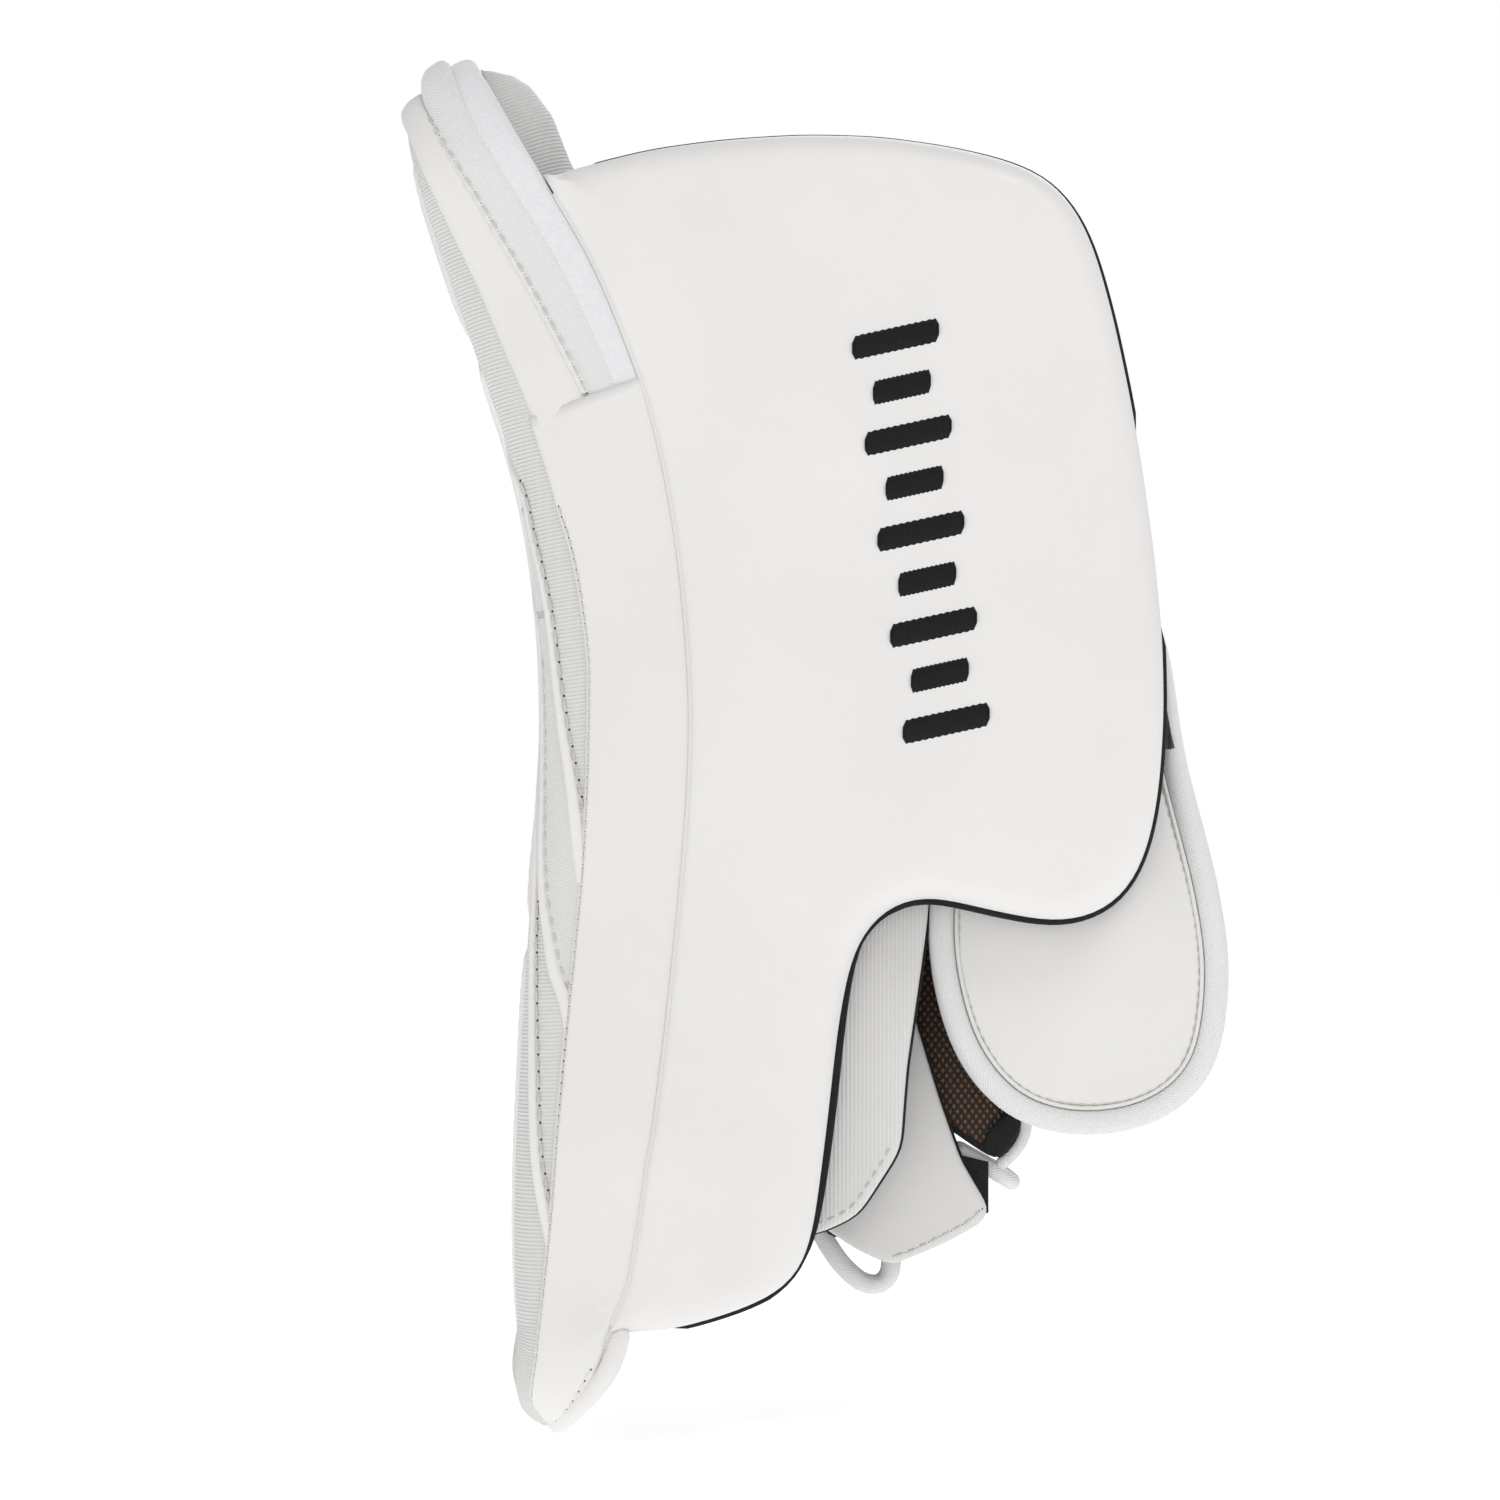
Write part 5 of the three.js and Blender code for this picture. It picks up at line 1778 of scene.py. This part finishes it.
def add_cuff_back():
    """Ribbed roll of padding on the board's back, behind the wrist."""
    low, high = node_box("cuff_back_pad")
    rows = 64
    columns = 24
    sections = []
    for i in range(rows + 1):
        height = lerp(BACK_ROLL[-1][0], BACK_ROLL[0][0], 0.5 - 0.5 * math.cos(math.pi * i / rows))
        tall = table_value(BACK_ROLL, height)
        front, back = slice_ends(height)
        full = (back - front).length
        outer = []
        for j in range(columns + 1):
            w = 0.5 - 0.5 * math.cos(math.pi * j / columns)
            side = clamp(min(w, 1 - w) / 0.09)
            rise = tall * math.sqrt(1 - (1 - side) ** 2)
            outer.append(board_point(lerp(low.y, high.y, w), height, full + 0.3 + rise))
        sections.append(outer + [board_point(y, height, full + 0.2) for y in (high.y, low.y)])
    pad = sweep(
        "cuff_back_roll", sections, "ribbed", gauge=columns // 2, where=("board", "nylon", "cuff_back_pad"),
    )


def add_cuff():
    """The three pads of the cuff, the flap's binding, the loop patch and the strap's sewn end."""
    add_cuff_back()
    for name, node, material, slot, cap in (
        ("cuff_side_padding", "cuff_side_pad", "black", "lining", 1.6),
        ("cuff_palm_padding", "cuff_palm_flap", "palm", "palm", 1.4),
    ):
        pad = inflated(name, node, material, voxel=4.0, cap=cap, where=("board", slot, node))
    low, high = node_box("cuff_palm_flap")
    edge = smooth_outline(flat_outline("cuff_palm_flap", 0, low.x), 3.0, 3)
    outline_roll(
        "cuff_flap_binding", inset(edge, -0.6), 3.4, low.x + 0.8, high.x - 0.6, "webbing", axis=0,
        where=("board", "webbing"),
    )
    add_patch("loop_pile", "loop_patch", "loop", "board")
    anchor = ("board", "webbing", "strap_anchor")
    softened("strap_sewn_end", "strap_anchor", "webbing", voxel=0.9, passes=2, where=anchor)


def add_patch(name, node, material, body):
    """A hook or loop patch, sewn round its edge."""
    low, high = node_box(node)
    outline = smooth_outline(flat_outline(node, 0, low.x), 2.0, 2)
    plate(
        name, outline, flat_face(low.x), far_face(high.x, 0.9), material, spacing=5,
        rings=(0.3, 0.9, 2.5), axis=0, sharp=60, where=(body, "webbing", node),
    )
    loop = inset(outline, 2.2)
    line = [Vector((high.x, p.x, p.y)) for p in loop + loop[:1]]
    stitches(f"{name}_stitch", line, (1, 0, 0), "thread_dark", 3.0, 2.1, 0.22, where=(body, "webbing"))


def add_strap():
    """The strap's webbing with its two rows of stitches, its hook patch and its rubber grip."""
    low, high = node_box("wrist_strap")
    count = 60
    middle = (low.x + high.x) / 2
    half = (high.x - low.x) / 2
    sections = []
    for i in range(count + 1):
        y = lerp(low.y, high.y - 1.4, i / count)
        slim = 1.0 if i < count else 0.6
        ripple = 0.12 * math.sin(y * 0.09)
        section = []
        for k in range(20):
            angle = 2 * math.pi * k / 20
            z = lerp(low.z, high.z, 0.5 + 0.5 * squared(math.sin(angle), 0.25))
            x = middle + squared(math.cos(angle), 0.55) * half * 0.86 * slim + ripple
            section.append(Vector((x, y, z)))
        sections.append(section)
    sweep("wrist_webbing", sections, "webbing", where=("strap", "webbing", "wrist_strap"))
    for number, z in enumerate((low.z + 3, high.z - 3), 1):
        line = [Vector((high.x - 0.15, y, z)) for y in np.linspace(low.y + 4, high.y - 5, 60)]
        stitches(
            f"strap_stitch_{number}", line, (1, 0, 0), "thread_dark", 3.4, 2.5, 0.26,
            where=("strap", "webbing"),
        )
    add_patch("hook_pile", "hook_patch", "hook", "strap")
    softened(
        "strap_grip", "strap_end_tab", "rubber", voxel=0.7, passes=3,
        where=("strap", "rubber", "strap_end_tab"),
    )
    low, high = node_box("strap_end_tab")
    for k in range(5):
        z = lerp(low.z + 7, high.z - 7, k / 4)
        line = [Vector((high.x - 0.1, y, z)) for y in np.linspace(low.y + 1.6, high.y - 1.6, 8)]
        tube(f"strap_grip_rib_{k + 1}", line, 0.7, "rubber", where=("strap", "rubber"))


# ---------------------------------------------------------------- pieces that stay as the frame has them
HIDDEN_INSIDE = {
    "foam": ("core_foam", "index_guard_foam"),
    "plastic": ("face_plastic", "sideboard_plastic", "thumb_plastic"),
    "steel": tuple(f"{kind}_{n}" for kind in ("t_nut", "palm_screw") for n in range(1, 5)),
}


def paint_nodes():
    for material, names in HIDDEN_INSIDE.items():
        for name in names:
            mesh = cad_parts[name].data
            mesh.materials.clear()
            mesh.materials.append(MATERIALS[material])


# ---------------------------------------------------------------- studio
CAMERA_PLACE = (16.6, -1265, -1.4)
LENS = 110
AMBIENT = 0.565  # strength of the surroundings as a light
FLOOR_GAP = 0.006


def add_camera():
    """The photo's view, square on to the thumb side."""
    data = bpy.data.cameras.new("camera")
    data.lens = LENS
    data.sensor_width = 36
    data.clip_start = 0.05
    camera = linked("camera", data)
    camera.location = to_row(CAMERA_PLACE)
    camera.rotation_euler = (math.pi / 2, 0, 0)
    bpy.context.scene.camera = camera


def add_light(name, place_at, aim, size, energy):
    data = bpy.data.lights.new(name, "AREA")
    data.shape = "DISK"
    data.size = size
    data.energy = energy
    light = linked(name, data)
    light.location = place_at
    light.rotation_euler = (Vector(aim) - Vector(place_at)).to_track_quat("-Z", "Y").to_euler()


def add_studio():
    """White surroundings, a large pale floor and three soft lights."""
    world = bpy.data.worlds.new("studio")
    world.use_nodes = True
    nodes = world.node_tree.nodes
    background = nodes["Background"]
    background.inputs["Color"].default_value = (1, 1, 1, 1)
    seen = nodes.new("ShaderNodeLightPath")
    strength = nodes.new("ShaderNodeMapRange")
    strength.inputs["To Min"].default_value = AMBIENT
    strength.inputs["To Max"].default_value = 1.0
    world.node_tree.links.new(seen.outputs["Is Camera Ray"], strength.inputs["Value"])
    world.node_tree.links.new(strength.outputs[0], background.inputs["Strength"])
    bpy.context.scene.world = world
    bpy.context.scene.view_settings.view_transform = "Standard"
    middle = (0.0, 0.0, -0.13)
    add_light("key", (0.75, -1.2, 1.35), middle, 1.0, 8.6)
    add_light("fill", (-1.4, -1.3, 0.1), middle, 1.4, 3.0)
    add_light("back", (0.4, 1.4, 0.9), middle, 1.2, 6)
    add_floor()


def add_floor():
    """A pale floor that gives a little light of its own, so that it stays white."""
    reach = 5.0
    level = CAD_BOX[0].z - FLOOR_GAP
    mesh = bpy.data.meshes.new("floor")
    corners = [(-reach, -reach, level), (reach, -reach, level), (reach, reach, level), (-reach, reach, level)]
    mesh.from_pydata(corners, [], [(0, 1, 2, 3)])
    shader = Shader("floor", (0.9, 0.9, 0.9), 0.9)
    shader.set("Emission Color", (1, 1, 1, 1))
    shader.set("Emission Strength", 0.5)
    mesh.materials.append(shader.material)
    linked("floor", mesh)


add_camera()
add_studio()
paint_nodes()
add_border()
add_front_foam()
add_face()
add_overlays()
add_back()
add_rim_bands()
add_crescents()
add_wrap()
add_side_board()
add_embroidery()
add_index_guard()
add_index_sleeve()
add_tab("index_pull_tab", "index_tab", INDEX_TAB_ROUTE, 2.9, "index_finger")
add_thumb()
add_fingers()
add_hand()
add_cuff()
add_strap()
